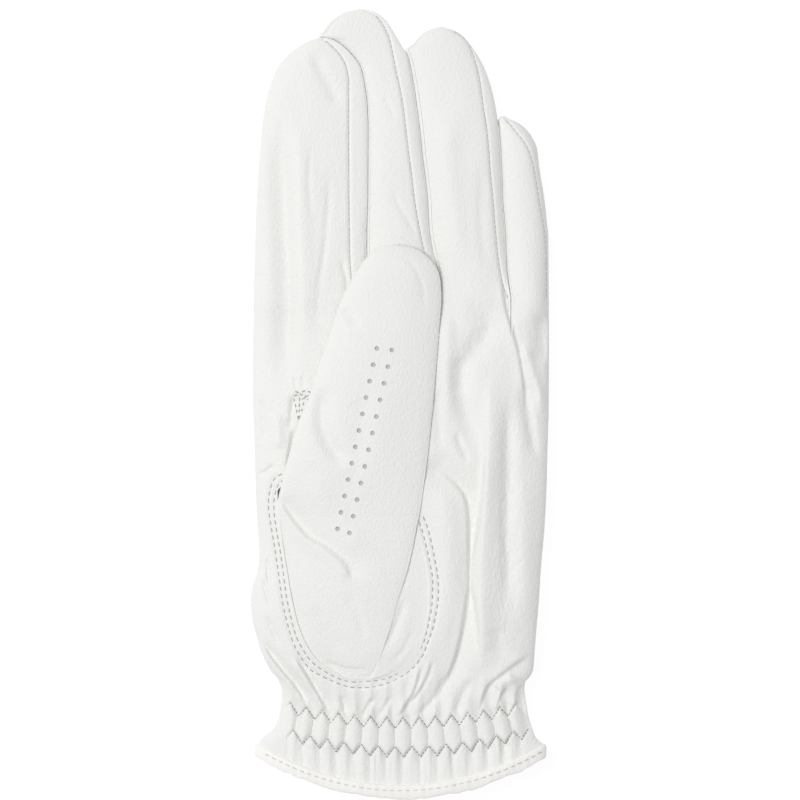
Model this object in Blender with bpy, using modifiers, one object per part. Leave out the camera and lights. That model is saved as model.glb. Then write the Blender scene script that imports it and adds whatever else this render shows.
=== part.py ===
"""Golf glove for the left hand, lying palm up with its thumb folded over the palm.

X runs across the hand (thumb side negative), Y runs towards the fingertips and Z is up.
Every leather sleeve is a loft of flattened ovals with a thin wall. The four fingers, the
thumb and the closure tab are separate pieces, so that each one can turn on its own hinge.
"""

import math

import bmesh
import bpy
from mathutils import Vector

MM = 0.001

# Leather and thread
LEATHER = 0.8
BINDING_THICKNESS = 1.3
ELASTIC_THICKNESS = 0.6
THREAD_RADIUS = 0.22
CLEARANCE = 0.3
FULLNESS = 0.7  # 1 gives an oval section, smaller values a boxier one

# Where the fingers bend, and where the hand panels end
FINGER_HINGE_Y = 50.0
FINGER_HINGE_Z = 11.5
FINGER_START_Y = FINGER_HINGE_Y + 0.3
HAND_END_Y = FINGER_HINGE_Y - 0.3

# One hand section per row: y at both edges, left x, right x, underside z, palm z, and how far
# the middle of the section bows towards the wrist.
HAND_SECTIONS = [
    (-100.1, -40.6, 40.7, 3.1, 13.0, 11.6),
    (-97.0, -37.0, 39.1, 3.1, 13.2, 10.0),
    (-91.0, -35.4, 37.7, 3.1, 13.4, 6.5),
    (-84.0, -35.8, 36.8, 3.1, 14.0, 3.0),
    (-74.0, -41.3, 40.0, 3.1, 15.0, 0.0),
    (-60.0, -44.2, 41.2, 3.1, 15.0, 0.0),
    (-45.0, -42.1, 42.3, 1.0, 15.0, 0.0),
    (-30.0, -42.6, 43.2, 0.0, 15.0, 0.0),
    (0.0, -43.6, 44.2, 0.0, 15.0, 0.0),
    (29.0, -43.4, 44.3, 0.0, 14.0, 0.0),
    (HAND_END_Y, -42.8, 44.0, 0.0, 11.5, 0.0),
]
CUFF_SECTIONS = [
    (-104.0, -42.5, 44.2, 2.8, 13.3, 12.0),
    (-100.4, -40.8, 40.9, 2.8, 13.3, 11.6),
]

# One finger section per row: y, left x, right x, underside z, top z
INDEX_SECTIONS = [
    (FINGER_START_Y, -42.7, -10.2, 0.0, 10.5),
    (66.0, -42.3, -10.1, 0.0, 10.5),
    (81.0, -40.9, -10.1, 0.0, 10.2),
    (90.0, -39.4, -10.5, 0.3, 9.6),
    (97.0, -37.1, -11.7, 0.9, 8.8),
    (102.3, -33.2, -14.6, 1.7, 7.8),
    (105.4, -29.2, -17.7, 2.5, 6.8),
    (107.3, -25.0, -21.0, 3.2, 5.6),
]
MIDDLE_SECTIONS = [
    (FINGER_START_Y, -9.8, 8.2, 0.0, 10.3),
    (66.0, -9.7, 7.1, 0.0, 10.3),
    (81.0, -9.7, 5.4, 0.0, 10.0),
    (90.0, -10.1, 4.2, 0.0, 9.6),
    (97.0, -10.9, 3.0, 0.3, 9.2),
    (102.3, -13.2, 1.9, 0.8, 8.8),
    (105.6, -15.8, 0.0, 1.2, 8.2),
    (108.9, -22.6, -1.4, 1.6, 7.6),
    (112.0, -20.8, -3.9, 2.2, 6.9),
    (114.6, -17.2, -6.9, 2.8, 6.2),
    (115.9, -13.4, -9.8, 3.3, 5.5),
]
RING_SECTIONS = [
    (FINGER_START_Y, 8.6, 30.9, 0.0, 10.1),
    (66.0, 7.5, 29.8, 0.0, 10.1),
    (81.0, 5.8, 28.9, 0.0, 9.8),
    (90.0, 4.6, 27.4, 0.2, 9.3),
    (97.0, 3.4, 25.4, 0.7, 8.8),
    (102.3, 2.5, 22.8, 1.3, 8.0),
    (106.4, 4.0, 19.8, 2.0, 7.2),
    (109.3, 8.0, 16.7, 2.7, 6.4),
    (110.6, 10.7, 14.0, 3.2, 5.6),
]
LITTLE_SECTIONS = [
    (FINGER_START_Y, 31.3, 44.0, 0.0, 9.4),
    (59.0, 30.6, 43.1, 0.0, 9.4),
    (69.0, 30.2, 41.4, 0.2, 9.0),
    (75.0, 29.9, 40.7, 0.7, 8.4),
    (79.5, 29.5, 38.4, 1.4, 7.6),
    (82.6, 29.6, 35.0, 2.2, 6.8),
    (84.2, 30.0, 32.6, 2.8, 5.8),
]

# The thumb lies on the palm and turns about the fold from FOLD_TOP to FOLD_BOTTOM.
FOLD_TOP = Vector((-34.0, -28.2))
FOLD_BOTTOM = Vector((-5.6, -77.0))
FOLD_Z = 15.4
# Left x and y, right x and y, underside z, top z
THUMB_SECTIONS = [
    (-33.5, -27.6, -5.1, -76.4, 15.7, 18.4),
    (-32.0, -18.0, 1.4, -54.5, 15.7, 21.5),
    (-29.8, -9.0, 5.6, -35.0, 15.7, 24.0),
    (-26.8, 1.0, 8.8, -12.0, 15.7, 25.2),
    (-24.0, 10.0, 10.8, 8.0, 15.7, 25.5),
    (-19.3, 24.4, 12.2, 24.4, 15.7, 25.0),
    (-14.4, 35.7, 11.5, 36.0, 16.2, 24.0),
    (-10.0, 42.0, 8.6, 42.0, 17.2, 22.8),
    (-4.8, 45.6, 3.0, 45.6, 18.6, 21.2),
]

# The hole in the palm that the thumb comes through, and the leather that fills its near side
THUMB_HOLE = [
    (-35.4, -26.0), (-35.2, -40.0), (-33.2, -55.0), (-30.0, -68.0), (-24.0, -76.5),
    (-14.0, -81.5), (-4.0, -80.0), (4.0, -73.5), (8.6, -60.0), (7.2, -47.0), (2.0, -36.0),
    (-14.0, -26.0), (-26.0, -21.0), (-33.0, -21.5),
]
THUMB_BASE = [
    (-34.9, -29.0), (-34.8, -40.0), (-32.8, -55.0), (-29.6, -67.7), (-23.8, -76.0),
    (-14.0, -81.0), (-5.2, -79.5), (-8.0, -74.0), (-20.0, -53.5), (-33.4, -30.6),
]
SEAM_OUTER_OFFSET = 3.6
SEAM_INNER_OFFSET = 1.8

# Two rows of breathing holes along the thumb
PERFORATION_ROWS = [((-6.8, 15.2), (-18.5, -38.0)), ((-2.4, 14.7), (-15.0, -39.2))]
PERFORATIONS_IN_ROW = 12
PERFORATION_RADIUS = 0.7

# Gathering stitches at the wrist
ZIGZAG_PITCH = 4.9
ZIGZAG_HEIGHT = 3.3
ZIGZAG_SPAN = (-31.5, 34.5)
ZIGZAG_MIDDLE_X = 1.0
ZIGZAG_RISE = 4.8
ZIGZAG_UPPER_Y = -95.6
ZIGZAG_LOWER_Y = -104.4

# The back of the wrist: the slit, its edging and the hook-and-loop closure
SLIT_TOP_Y = -62.0
SLIT_HALF_TOP = 1.0
SLIT_HALF_CUFF = 3.0
SLIT_BINDING_WIDTH = 3.2
SLIT_BINDING_Z = (2.0, 2.7)
TAB_Y = (-96.0, -70.0)
TAB_HINGE_X = -9.0
TAB_FREE_X = 28.0
TAB_Z = (0.0, 0.8)
TAB_CORNER = 9.0
TAB_BASE_X = (-22.0, -9.4)
TAB_BASE_Z = (2.0, 2.8)
HOOK_X = (8.0, 24.0)
HOOK_Z = (1.1, 1.7)
LOOP_X = (7.0, 25.0)
LOOP_Z = (2.0, 2.75)

# Angles round a section, in degrees: 0 is its right edge, 90 its top and 180 its left edge
UPPER_SEAM = 50
HIDDEN_SEAM = 150
LOWER_SEAM = 30
SEAM_GAP = 2.5
EDGE_GAP = 1.2
ANGLE_STEP = 24
RIM_STEP = 5
CUFF_SLIT_ANGLE = 3

WHITE = (0.86, 0.86, 0.84)
SOFT_WHITE = (0.80, 0.80, 0.77)
THREAD_WHITE = (0.74, 0.74, 0.70)


def clear_scene():
    for obj in list(bpy.data.objects):
        bpy.data.objects.remove(obj)


def new_collection(name):
    collection = bpy.data.collections.new(name)
    bpy.context.scene.collection.children.link(collection)
    return collection


def material(name, colour, roughness):
    made = bpy.data.materials.new(name)
    made.use_nodes = True
    shader = made.node_tree.nodes["Principled BSDF"]
    shader.inputs["Base Color"].default_value = (*colour, 1)
    shader.inputs["Roughness"].default_value = roughness
    shader.inputs["Metallic"].default_value = 0
    return made


def add_object(name, data, collection, colour, roughness):
    obj = bpy.data.objects.new(name, data)
    collection.objects.link(obj)
    data.materials.append(material(name, colour, roughness))
    return obj


def hinge_empty(name, location):
    empty = bpy.data.objects.new(name, None)
    empty.location = Vector(location) * MM
    parts.objects.link(empty)
    return empty


def attach(obj, empty):
    """Parents the object to the empty on its hinge without moving it."""
    obj.parent = empty
    obj.matrix_parent_inverse = empty.matrix_basis.inverted()


def signed_power(value, exponent):
    return math.copysign(abs(value) ** exponent, value)


def section_point(section, degrees, inset=0.0):
    """A point on a flattened oval, moved in by inset millimetres."""
    left_x, left_y, right_x, right_y, low, high, bow = section
    across = signed_power(math.cos(math.radians(degrees)), FULLNESS)
    up = signed_power(math.sin(math.radians(degrees)), FULLNESS)
    left = Vector((left_x, left_y))
    right = Vector((right_x, right_y))
    half = (right - left) / 2
    half = half * (1 - inset / half.length)
    plan = (left + right) / 2 + half * across
    plan.y -= bow * (1 - across**2)
    height = (low + high) / 2 + ((high - low) / 2 - inset) * up
    return Vector((plan.x, plan.y, height))


def level(rows):
    """Sections across the hand from rows of y, left, right, underside, top and, if given, bow."""
    return [(r[1], r[0], r[2], r[0], r[3], r[4], r[5] if len(r) > 5 else 0.0) for r in rows]


def angled(rows):
    return [(*row, 0.0) for row in rows]


def spread(start, end, step=ANGLE_STEP):
    """Angles from start to end, no further apart than step."""
    count = max(1, math.ceil((end - start) / step - 0.001))
    return [start + (end - start) * i / count for i in range(count + 1)]


def wall_angles(start, end):
    """The same with a narrow first and last face, so that the wall's rims stand square."""
    return [start, *spread(start + RIM_STEP, end - RIM_STEP), end]


def patch(name, sections, start, end, colour, thickness=LEATHER, inset=0.0, roughness=0.6):
    """A leather wall: the loft of the sections between two angles, thickened inwards."""
    surface = bmesh.new()
    rows = []
    for section in sections:
        points = [section_point(section, angle, inset) for angle in wall_angles(start, end)]
        rows.append([surface.verts.new(point * MM) for point in points])
    for near, far in zip(rows, rows[1:]):
        for i in range(len(near) - 1):
            surface.faces.new((near[i], far[i], far[i + 1], near[i + 1]))
    mesh = bpy.data.meshes.new(name)
    surface.to_mesh(mesh)
    surface.free()
    obj = add_object(name, mesh, parts, colour, roughness)
    wall = obj.modifiers.new("wall", "SOLIDIFY")
    wall.thickness = thickness * MM
    wall.offset = -1
    return obj


def plate_curve(name, outline, low, high):
    """A flat plate with this outline between two heights, as a filled curve."""
    curve = bpy.data.curves.new(name, "CURVE")
    curve.dimensions = "2D"
    curve.fill_mode = "BOTH"
    curve.extrude = (high - low) / 2 * MM
    spline = curve.splines.new("POLY")
    spline.points.add(len(outline) - 1)
    for point, (x, y) in zip(spline.points, outline):
        point.co = (x * MM, y * MM, 0, 1)
    spline.use_cyclic_u = True
    return curve


def plate(name, outline, low, high, colour, roughness=0.6):
    obj = add_object(name, plate_curve(name, outline, low, high), parts, colour, roughness)
    obj.location.z = (low + high) / 2 * MM
    return obj


def cutter_plate(name, outline, low, high):
    """The same plate as a closed mesh that a Boolean can use."""
    curve = plate_curve(name, outline, low, high)
    guide = bpy.data.objects.new(name, curve)
    cutters.objects.link(guide)
    graph = bpy.context.evaluated_depsgraph_get()
    mesh = bpy.data.meshes.new_from_object(guide.evaluated_get(graph))
    bpy.data.objects.remove(guide)
    shape = bmesh.new()
    shape.from_mesh(mesh)
    bmesh.ops.remove_doubles(shape, verts=shape.verts, dist=0.00001)
    bmesh.ops.recalc_face_normals(shape, faces=shape.faces)
    shape.to_mesh(mesh)
    shape.free()
    obj = bpy.data.objects.new(name, mesh)
    obj.location.z = (low + high) / 2 * MM
    return hide_cutter(obj)


def hide_cutter(obj):
    cutters.objects.link(obj)
    obj.hide_render = True
    obj.display_type = "WIRE"
    return obj


def boolean(obj, cutter, operation):
    cut = obj.modifiers.new(cutter.name, "BOOLEAN")
    cut.operation = operation
    cut.solver = "EXACT"
    cut.object = cutter


def thread(name, points, closed=False):
    """One continuous sewing thread through these points."""
    curve = bpy.data.curves.new(name, "CURVE")
    curve.dimensions = "3D"
    curve.bevel_depth = THREAD_RADIUS * MM
    curve.bevel_resolution = 1
    curve.use_fill_caps = True
    spline = curve.splines.new("POLY")
    spline.points.add(len(points) - 1)
    for point, place in zip(spline.points, points):
        point.co = (*(Vector(place) * MM), 1)
    spline.use_cyclic_u = closed
    return add_object(name, curve, parts, THREAD_WHITE, 0.7)


def hand_section_at(y):
    """The hand's section at this y, between the listed rows."""
    rows = HAND_SECTIONS
    for low, high in zip(rows, rows[1:]):
        if y <= high[0]:
            break
    t = (y - low[0]) / (high[0] - low[0])
    return [a + (b - a) * t for a, b in zip(low, high)]


def palm_height(x, y):
    """Height of the palm's outer face above a point, where the section doesn't bow."""
    _, left, right, low, high, _ = hand_section_at(y)
    across = abs(x - (left + right) / 2) / ((right - left) / 2)
    cosine = min(across, 0.999) ** (1 / FULLNESS)
    up = math.sqrt(1 - cosine**2) ** FULLNESS
    return (low + high) / 2 + (high - low) / 2 * up


def on_palm(x, y):
    return (x, y, palm_height(x, y) + CLEARANCE + THREAD_RADIUS)


def grown(outline, offset):
    """The outline moved outwards by offset, corner by corner. It runs anticlockwise."""
    moved = []
    for i, corner in enumerate(outline):
        before = Vector(outline[i - 1])
        after = Vector(outline[(i + 1) % len(outline)])
        along = (after - before).normalized()
        moved.append(Vector(corner) + Vector((along.y, -along.x)) * offset)
    return moved


def make_hand_panels():
    hand = level(HAND_SECTIONS)
    palm = patch("palm_panel", hand, EDGE_GAP, 180 - EDGE_GAP, WHITE)
    hole = cutter_plate("thumb_hole_cutter", THUMB_HOLE, 8, 20)
    boolean(palm, hole, "DIFFERENCE")

    base = patch("thumb_base", hand, EDGE_GAP, 180 - EDGE_GAP, WHITE)
    fill = cutter_plate("thumb_base_cutter", THUMB_BASE, 8, 20)
    boolean(base, fill, "INTERSECT")

    back = patch("back_panel", hand, 180 + EDGE_GAP, 360 - EDGE_GAP, WHITE)
    cuff_y = CUFF_SECTIONS[0][0] - CUFF_SECTIONS[0][5] - 5
    slit = [
        (-SLIT_HALF_CUFF, cuff_y), (SLIT_HALF_CUFF, cuff_y),
        (SLIT_HALF_TOP, SLIT_TOP_Y), (-SLIT_HALF_TOP, SLIT_TOP_Y),
    ]
    boolean(back, cutter_plate("slit_cutter", slit, -2, 8), "DIFFERENCE")


def make_cuff():
    cuff = level(CUFF_SECTIONS)
    start = -90 + CUFF_SLIT_ANGLE
    end = 270 - CUFF_SLIT_ANGLE
    patch("cuff_binding", cuff, start, end, SOFT_WHITE, BINDING_THICKNESS)
    middle = [(a + b) / 2 for a, b in zip(*cuff)]
    outwards = -CLEARANCE - THREAD_RADIUS
    points = [section_point(middle, angle, outwards) for angle in spread(start + 4, end - 4, 12)]
    thread("cuff_thread", points)

    inside = LEATHER + 2 * CLEARANCE
    elastic = [level(HAND_SECTIONS)[i] for i in (1, 2)]
    patch("wrist_elastic", elastic, 30, 150, SOFT_WHITE, ELASTIC_THICKNESS, inside, 0.8)


def zigzag(name, middle_y):
    """A zigzag row on the palm side of the wrist that follows the curve of the cuff."""
    start, end = ZIGZAG_SPAN
    count = round((end - start) / ZIGZAG_PITCH * 2)
    points = []
    for i in range(count + 1):
        x = start + (end - start) * i / count
        rise = ZIGZAG_RISE * ((x - ZIGZAG_MIDDLE_X) / (end - ZIGZAG_MIDDLE_X)) ** 2
        y = middle_y + rise + ZIGZAG_HEIGHT / 2 * (-1) ** i
        points.append((x, y, wrist_height(x)))
    thread(name, points)


def wrist_height(x):
    """A height that clears the palm panel everywhere in the gathered band."""
    highest = max(palm_height(x, y) for y in (-100.0, -97.0, -94.0, -91.0, -88.0))
    return highest + CLEARANCE + THREAD_RADIUS


def make_seam_threads():
    for name, offset in (
        ("thumb_seam_outer_thread", SEAM_OUTER_OFFSET),
        ("thumb_seam_inner_thread", SEAM_INNER_OFFSET),
    ):
        ring = grown(THUMB_HOLE, offset)
        thread(name, [on_palm(*point) for point in ring], closed=True)
    outwards = -CLEARANCE - THREAD_RADIUS
    side = [section_point(section, 0, outwards) for section in level(HAND_SECTIONS)[1:]]
    thread("side_seam_thread", side)


def rounded_tab(left, right, low, high, corner):
    """A plate outline with its right-hand corners rounded."""
    outline = [(left, high), (left, low)]
    for centre_y, start in ((low + corner, -90), (high - corner, 0)):
        for angle in range(start, start + 91, 15):
            turn = math.radians(angle)
            outline.append((right - corner + corner * math.cos(turn),
                            centre_y + corner * math.sin(turn)))
    return outline


def make_closure():
    low, high = TAB_Y
    hinge = hinge_empty("closure_tab_hinge", (TAB_HINGE_X, (low + high) / 2, TAB_Z[1]))
    tab_outline = rounded_tab(TAB_HINGE_X, TAB_FREE_X, low, high, TAB_CORNER)
    tab = plate("closure_tab", tab_outline, *TAB_Z, WHITE)
    hook_outline = rounded_tab(*HOOK_X, low + 3, high - 3, TAB_CORNER - 3)
    hook = plate("hook_patch", hook_outline, *HOOK_Z, SOFT_WHITE, 0.9)
    for obj in (tab, hook):
        attach(obj, hinge)

    base_left, base_right = TAB_BASE_X
    base_outline = [(base_left, low), (base_right, low), (base_right, high), (base_left, high)]
    plate("tab_base", base_outline, *TAB_BASE_Z, WHITE)
    loop_outline = rounded_tab(*LOOP_X, low + 1, high - 1, 4)
    plate("loop_patch", loop_outline, *LOOP_Z, SOFT_WHITE, 0.95)

    cuff_y = CUFF_SECTIONS[0][0] - 6
    wide = SLIT_BINDING_WIDTH
    u_outline = [
        (-SLIT_HALF_CUFF - wide, cuff_y), (-SLIT_HALF_CUFF, cuff_y),
        (-SLIT_HALF_TOP, SLIT_TOP_Y), (SLIT_HALF_TOP, SLIT_TOP_Y),
        (SLIT_HALF_CUFF, cuff_y), (SLIT_HALF_CUFF + wide, cuff_y),
        (SLIT_HALF_TOP + wide, SLIT_TOP_Y + 1), (SLIT_HALF_TOP, SLIT_TOP_Y + wide),
        (-SLIT_HALF_TOP, SLIT_TOP_Y + wide), (-SLIT_HALF_TOP - wide, SLIT_TOP_Y + 1),
    ]
    plate("slit_binding", u_outline, *SLIT_BINDING_Z, SOFT_WHITE)


def make_finger(name, rows, left_strip_rows, right_strip_rows):
    """A finger sleeve: palm side, back, side strips between them and the seam thread.

    A side strip runs over this many of the rows. A count of 0 leaves it out.
    """
    sections = level(rows)
    has_left_strip = left_strip_rows > 0
    has_right_strip = right_strip_rows > 0
    left_top, left_low = (HIDDEN_SEAM, 360 - HIDDEN_SEAM) if has_left_strip else (180, 180)
    right_top, right_low = (UPPER_SEAM, -LOWER_SEAM) if has_right_strip else (0, 0)
    right_gap = SEAM_GAP if has_right_strip else EDGE_GAP
    left_gap = SEAM_GAP if has_left_strip else EDGE_GAP
    pieces = [
        patch(f"{name}_front", sections, right_top + right_gap, left_top - left_gap, WHITE),
        patch(f"{name}_back", sections, left_low + left_gap, 360 + right_low - right_gap, WHITE),
    ]
    if has_right_strip:
        pieces.append(patch(f"{name}_right_fourchette", sections[:right_strip_rows],
                            right_low + SEAM_GAP, right_top - SEAM_GAP, SOFT_WHITE))
    if has_left_strip:
        pieces.append(patch(f"{name}_left_fourchette", sections[:left_strip_rows],
                            left_top + SEAM_GAP, left_low - SEAM_GAP, SOFT_WHITE))
    outwards = -CLEARANCE - THREAD_RADIUS
    seam_angle = UPPER_SEAM if has_right_strip else 10
    seam = [section_point(section, seam_angle, outwards) for section in sections[:-1]]
    pieces.append(thread(f"{name}_seam_thread", seam))

    middle_x = (rows[0][1] + rows[0][2]) / 2
    hinge = hinge_empty(f"{name}_hinge", (middle_x, FINGER_HINGE_Y, FINGER_HINGE_Z))
    for piece in pieces:
        attach(piece, hinge)


def perforation_cutter():
    """All the breathing holes as one set of round pins."""
    pins = bmesh.new()
    for start, end in PERFORATION_ROWS:
        for i in range(PERFORATIONS_IN_ROW):
            t = i / (PERFORATIONS_IN_ROW - 1)
            place = Vector(start).lerp(Vector(end), t)
            made = bmesh.ops.create_cone(
                pins, cap_ends=True, segments=8, radius1=PERFORATION_RADIUS * MM,
                radius2=PERFORATION_RADIUS * MM, depth=8 * MM,
            )
            offset = Vector((place.x, place.y, 24.0)) * MM
            bmesh.ops.translate(pins, verts=made["verts"], vec=offset)
    mesh = bpy.data.meshes.new("perforation_cutter")
    pins.to_mesh(mesh)
    pins.free()
    return hide_cutter(bpy.data.objects.new("perforation_cutter", mesh))


def make_thumb():
    sections = angled(THUMB_SECTIONS)
    front = patch("thumb_front", sections, EDGE_GAP, 180 - EDGE_GAP, WHITE)
    boolean(front, perforation_cutter(), "DIFFERENCE")
    back = patch("thumb_back", sections[2:], 180 + EDGE_GAP, 360 - EDGE_GAP, WHITE)
    outwards = -CLEARANCE - THREAD_RADIUS
    seam = [section_point(section, 35, outwards) for section in sections[4:]]
    stitches = thread("thumb_tip_thread", seam)
    middle = (FOLD_TOP + FOLD_BOTTOM) / 2
    hinge = hinge_empty("thumb_hinge", (middle.x, middle.y, FOLD_Z))
    for piece in (front, back, stitches):
        attach(piece, hinge)


clear_scene()
parts = new_collection("golf_glove")
cutters = new_collection("cutters")
make_hand_panels()
make_cuff()
zigzag("zigzag_upper_thread", ZIGZAG_UPPER_Y)
zigzag("zigzag_lower_thread", ZIGZAG_LOWER_Y)
make_seam_threads()
make_closure()
make_finger("index", INDEX_SECTIONS, 0, 6)
make_finger("middle", MIDDLE_SECTIONS, 5, 9)
make_finger("ring", RING_SECTIONS, 6, 7)
make_finger("little", LITTLE_SECTIONS, 5, 0)
make_thumb()
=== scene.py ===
"""Looks of the golf glove: white lambskin lying palm up, seen from straight above."""

import math

import bmesh
import bpy
import numpy as np
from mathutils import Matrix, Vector


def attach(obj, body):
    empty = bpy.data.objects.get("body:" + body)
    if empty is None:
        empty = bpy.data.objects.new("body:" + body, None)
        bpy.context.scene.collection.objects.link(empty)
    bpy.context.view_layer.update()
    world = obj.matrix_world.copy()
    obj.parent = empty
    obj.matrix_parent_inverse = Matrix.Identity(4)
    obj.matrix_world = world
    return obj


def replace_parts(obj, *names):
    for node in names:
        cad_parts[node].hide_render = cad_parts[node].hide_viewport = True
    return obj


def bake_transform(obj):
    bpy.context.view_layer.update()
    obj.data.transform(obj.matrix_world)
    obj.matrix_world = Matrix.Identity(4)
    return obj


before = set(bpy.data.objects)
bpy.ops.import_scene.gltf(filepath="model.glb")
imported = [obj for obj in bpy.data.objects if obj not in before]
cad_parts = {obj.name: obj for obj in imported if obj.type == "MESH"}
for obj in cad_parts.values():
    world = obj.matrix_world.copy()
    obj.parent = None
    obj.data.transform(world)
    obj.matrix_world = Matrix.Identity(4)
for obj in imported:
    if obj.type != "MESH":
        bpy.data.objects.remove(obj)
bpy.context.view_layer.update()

MM = 0.001
HERE = bpy.context.scene.collection

# ---- outlines, in millimetres
# Sides of the hand and of each finger, and the seams on the fingers: rows of y and x, upwards
HAND_LEFT = [
    (-104.2, -42.5), (-102.3, -42), (-100.4, -40.9), (-98.6, -38.6), (-97, -37), (-93.3, -35.8),
    (-89.5, -35.2), (-86.5, -35.1), (-83.4, -35.9), (-80.1, -38.5), (-75.5, -40.8), (-70, -42.6),
    (-65, -43.8), (-60.4, -44.2), (-56.7, -44), (-53, -43.1), (-50, -42.1), (-45.4, -41.7),
    (-37.9, -42.2), (-26.5, -42.8), (-15.2, -43.1), (0, -43.6), (14.3, -43.6), (30, -43.4),
]
HAND_RIGHT = [
    (-104.2, 44.2), (-102.7, 43.2), (-101.5, 41.6), (-100.1, 40.3), (-97.1, 39.1), (-93.3, 38),
    (-89.5, 37.4), (-86, 36.9), (-83.6, 37.2), (-82, 38.7), (-79.5, 39.6), (-74.4, 40),
    (-66.8, 40.6), (-60, 41.2), (-49.2, 41.9), (-37.9, 42.9), (-26.5, 43.5), (-15.2, 43.8),
    (0, 44.2), (30, 44.3),
]
CROTCH_Y = 30.0  # where the fingers start
FINGER_GAP = 0.4


def beside(outline, count):
    """The left side of a finger where it lies against the right side of the one before it."""
    return [(y, x + FINGER_GAP) for y, x in outline[:count]]


INDEX_LEFT = [
    (30, -43.4), (49.5, -42.9), (59.4, -42.5), (69.2, -41.9), (80.4, -40.9), (88.1, -39.9),
    (94, -38.3), (98.8, -36.2), (102.3, -33.2), (105.3, -29.2), (106.7, -26.6), (107.5, -23.6),
]
INDEX_RIGHT = [
    (30, -9.8), (49.5, -10.3), (59.4, -10), (80.4, -9.9), (88.1, -10.2), (94, -11), (98.8, -12.1),
    (102.3, -14.4), (105.3, -17.4), (106.7, -19.7), (107.5, -22.4),
]
MIDDLE_LEFT = beside(INDEX_RIGHT, 9) + [
    (106.9, -19.6), (107.9, -24), (109.6, -22.8), (112.1, -20.6), (114.2, -17.8), (115.4, -14.9),
    (115.95, -12.2),
]
MIDDLE_RIGHT = [
    (30, 11), (35, 10.9), (39.5, 10.4), (44, 9.4), (51.6, 8.2), (59.4, 7.8), (65.4, 7.2), (73, 6.2),
    (80.5, 5.5), (88.1, 4.5), (94.2, 3.6), (98.7, 2.8), (102.1, 2), (104.3, 0.8), (107.7, -1.2),
    (111.9, -3.8), (114.8, -6.9), (115.95, -10.6),
]
RING_LEFT = beside(MIDDLE_RIGHT, 12) + [
    (102, 2.4), (103.9, 1.7), (105.5, 3.6), (107.7, 5.6), (109.6, 8.2), (110.7, 11.4),
]
RING_RIGHT = [
    (30, 32.6), (40.2, 31.4), (51.6, 30.9), (59.4, 30.2), (65.4, 30), (73, 29.7), (80.5, 29.1),
    (84.3, 28.7), (91.1, 27.4), (97.2, 25.5), (102.4, 22.9), (106.6, 19.8), (109.4, 16.8),
    (110.7, 13),
]
LITTLE_LEFT = beside(RING_RIGHT, 7) + [(83, 29.2), (84.4, 30)]
LITTLE_RIGHT = [
    (30, 44.3), (47.9, 44.2), (53.5, 43.7), (59.1, 43.1), (69.2, 41.5), (74.9, 40.8), (77.9, 39.5),
    (80.5, 37.6), (82.4, 35.3), (83.6, 32.6), (84.4, 30.9),
]
INDEX_SEAM = [
    (30, -10.3), (36, -14.4), (44, -14.9), (59, -15.1), (80, -15.2), (94, -15.2), (98.3, -15.8),
    (102, -17.6), (105.1, -20.4), (107.5, -23.2),
]
MIDDLE_SEAM = [
    (30, 10.4), (37, 9), (44, 7.2), (49.7, 6), (59.4, 4.3), (67.4, 3.4), (73, 2.6), (80, 1.8),
    (88, 0.8), (98, -1.2), (102.5, -2.1), (107, -3.1), (110.7, -4.7), (113.8, -7), (115.95, -11.4),
]
RING_SEAM = [
    (30, 32), (34.6, 30.4), (42, 29.1), (51.6, 28.2), (59.4, 27.6), (67.4, 26.8), (74.8, 26.3),
    (82, 25.5), (86.2, 24.8), (92.6, 24), (97.2, 23.2), (102.4, 21.7), (106.4, 20), (109, 16.6),
    (110.7, 12.2),
]
LITTLE_SEAM = [
    (30, 43.5), (45, 43.3), (53, 42.4), (60, 41.2), (70, 39.5), (75, 37.8), (80, 34.2),
    (83.2, 31.6),
]

# Outlines on the palm as x, y from here on.
# The thumb's sheet from the bottom of its hole to its tip: left x, y and right x, y
THUMB_ROWS = [
    (-15.6, -83.6, -8.4, -83.6), (-18.6, -82, -6.6, -79.9), (-22, -80, -4.9, -73.8),
    (-26.2, -76.6, -3.2, -68.8), (-29.6, -70.8, -1.3, -62.2), (-31.9, -62.6, 0.3, -56.6),
    (-33.6, -53, 2.1, -51), (-34.9, -44.6, 3.8, -43.8), (-35.9, -37.6, 5, -37.6),
    (-36.3, -31.4, 6.2, -31.4), (-35.2, -25.6, 7, -25.6), (-32.2, -14.1, 8.5, -14),
    (-29.9, -6.2, 9.3, -6.4), (-27.1, 0.2, 10, 0.2), (-24.2, 10, 10.8, 10), (-19.3, 24, 11.9, 24),
    (-16.9, 30.8, 12.3, 30.4), (-14.3, 35.8, 12, 35.2), (-12.3, 38.8, 11, 38.8),
    (-10.2, 41.7, 8.7, 41.9), (-8, 43.9, 5.8, 44.2), (-5.5, 45.3, 2.8, 45.5),
    (-2.8, 45.9, -0.6, 45.95),
]
HOLE = [
    (-35.3, -25.8), (-36.2, -28.5), (-35.7, -33), (-35.2, -37.9), (-34.3, -44.6), (-33.3, -51),
    (-32.2, -57.4), (-30.5, -65), (-28.3, -71), (-25.2, -76), (-21, -79.2), (-16.5, -81.6),
    (-11.5, -82.2), (-6, -81.6), (-1, -80.2), (3.4, -77), (6.4, -71.5), (8, -65.5), (8.6, -59),
    (8.3, -52.5), (7.4, -47), (6, -41.5), (3.5, -33.5), (-2, -27.5), (-14, -24), (-28, -23.6),
]
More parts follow.
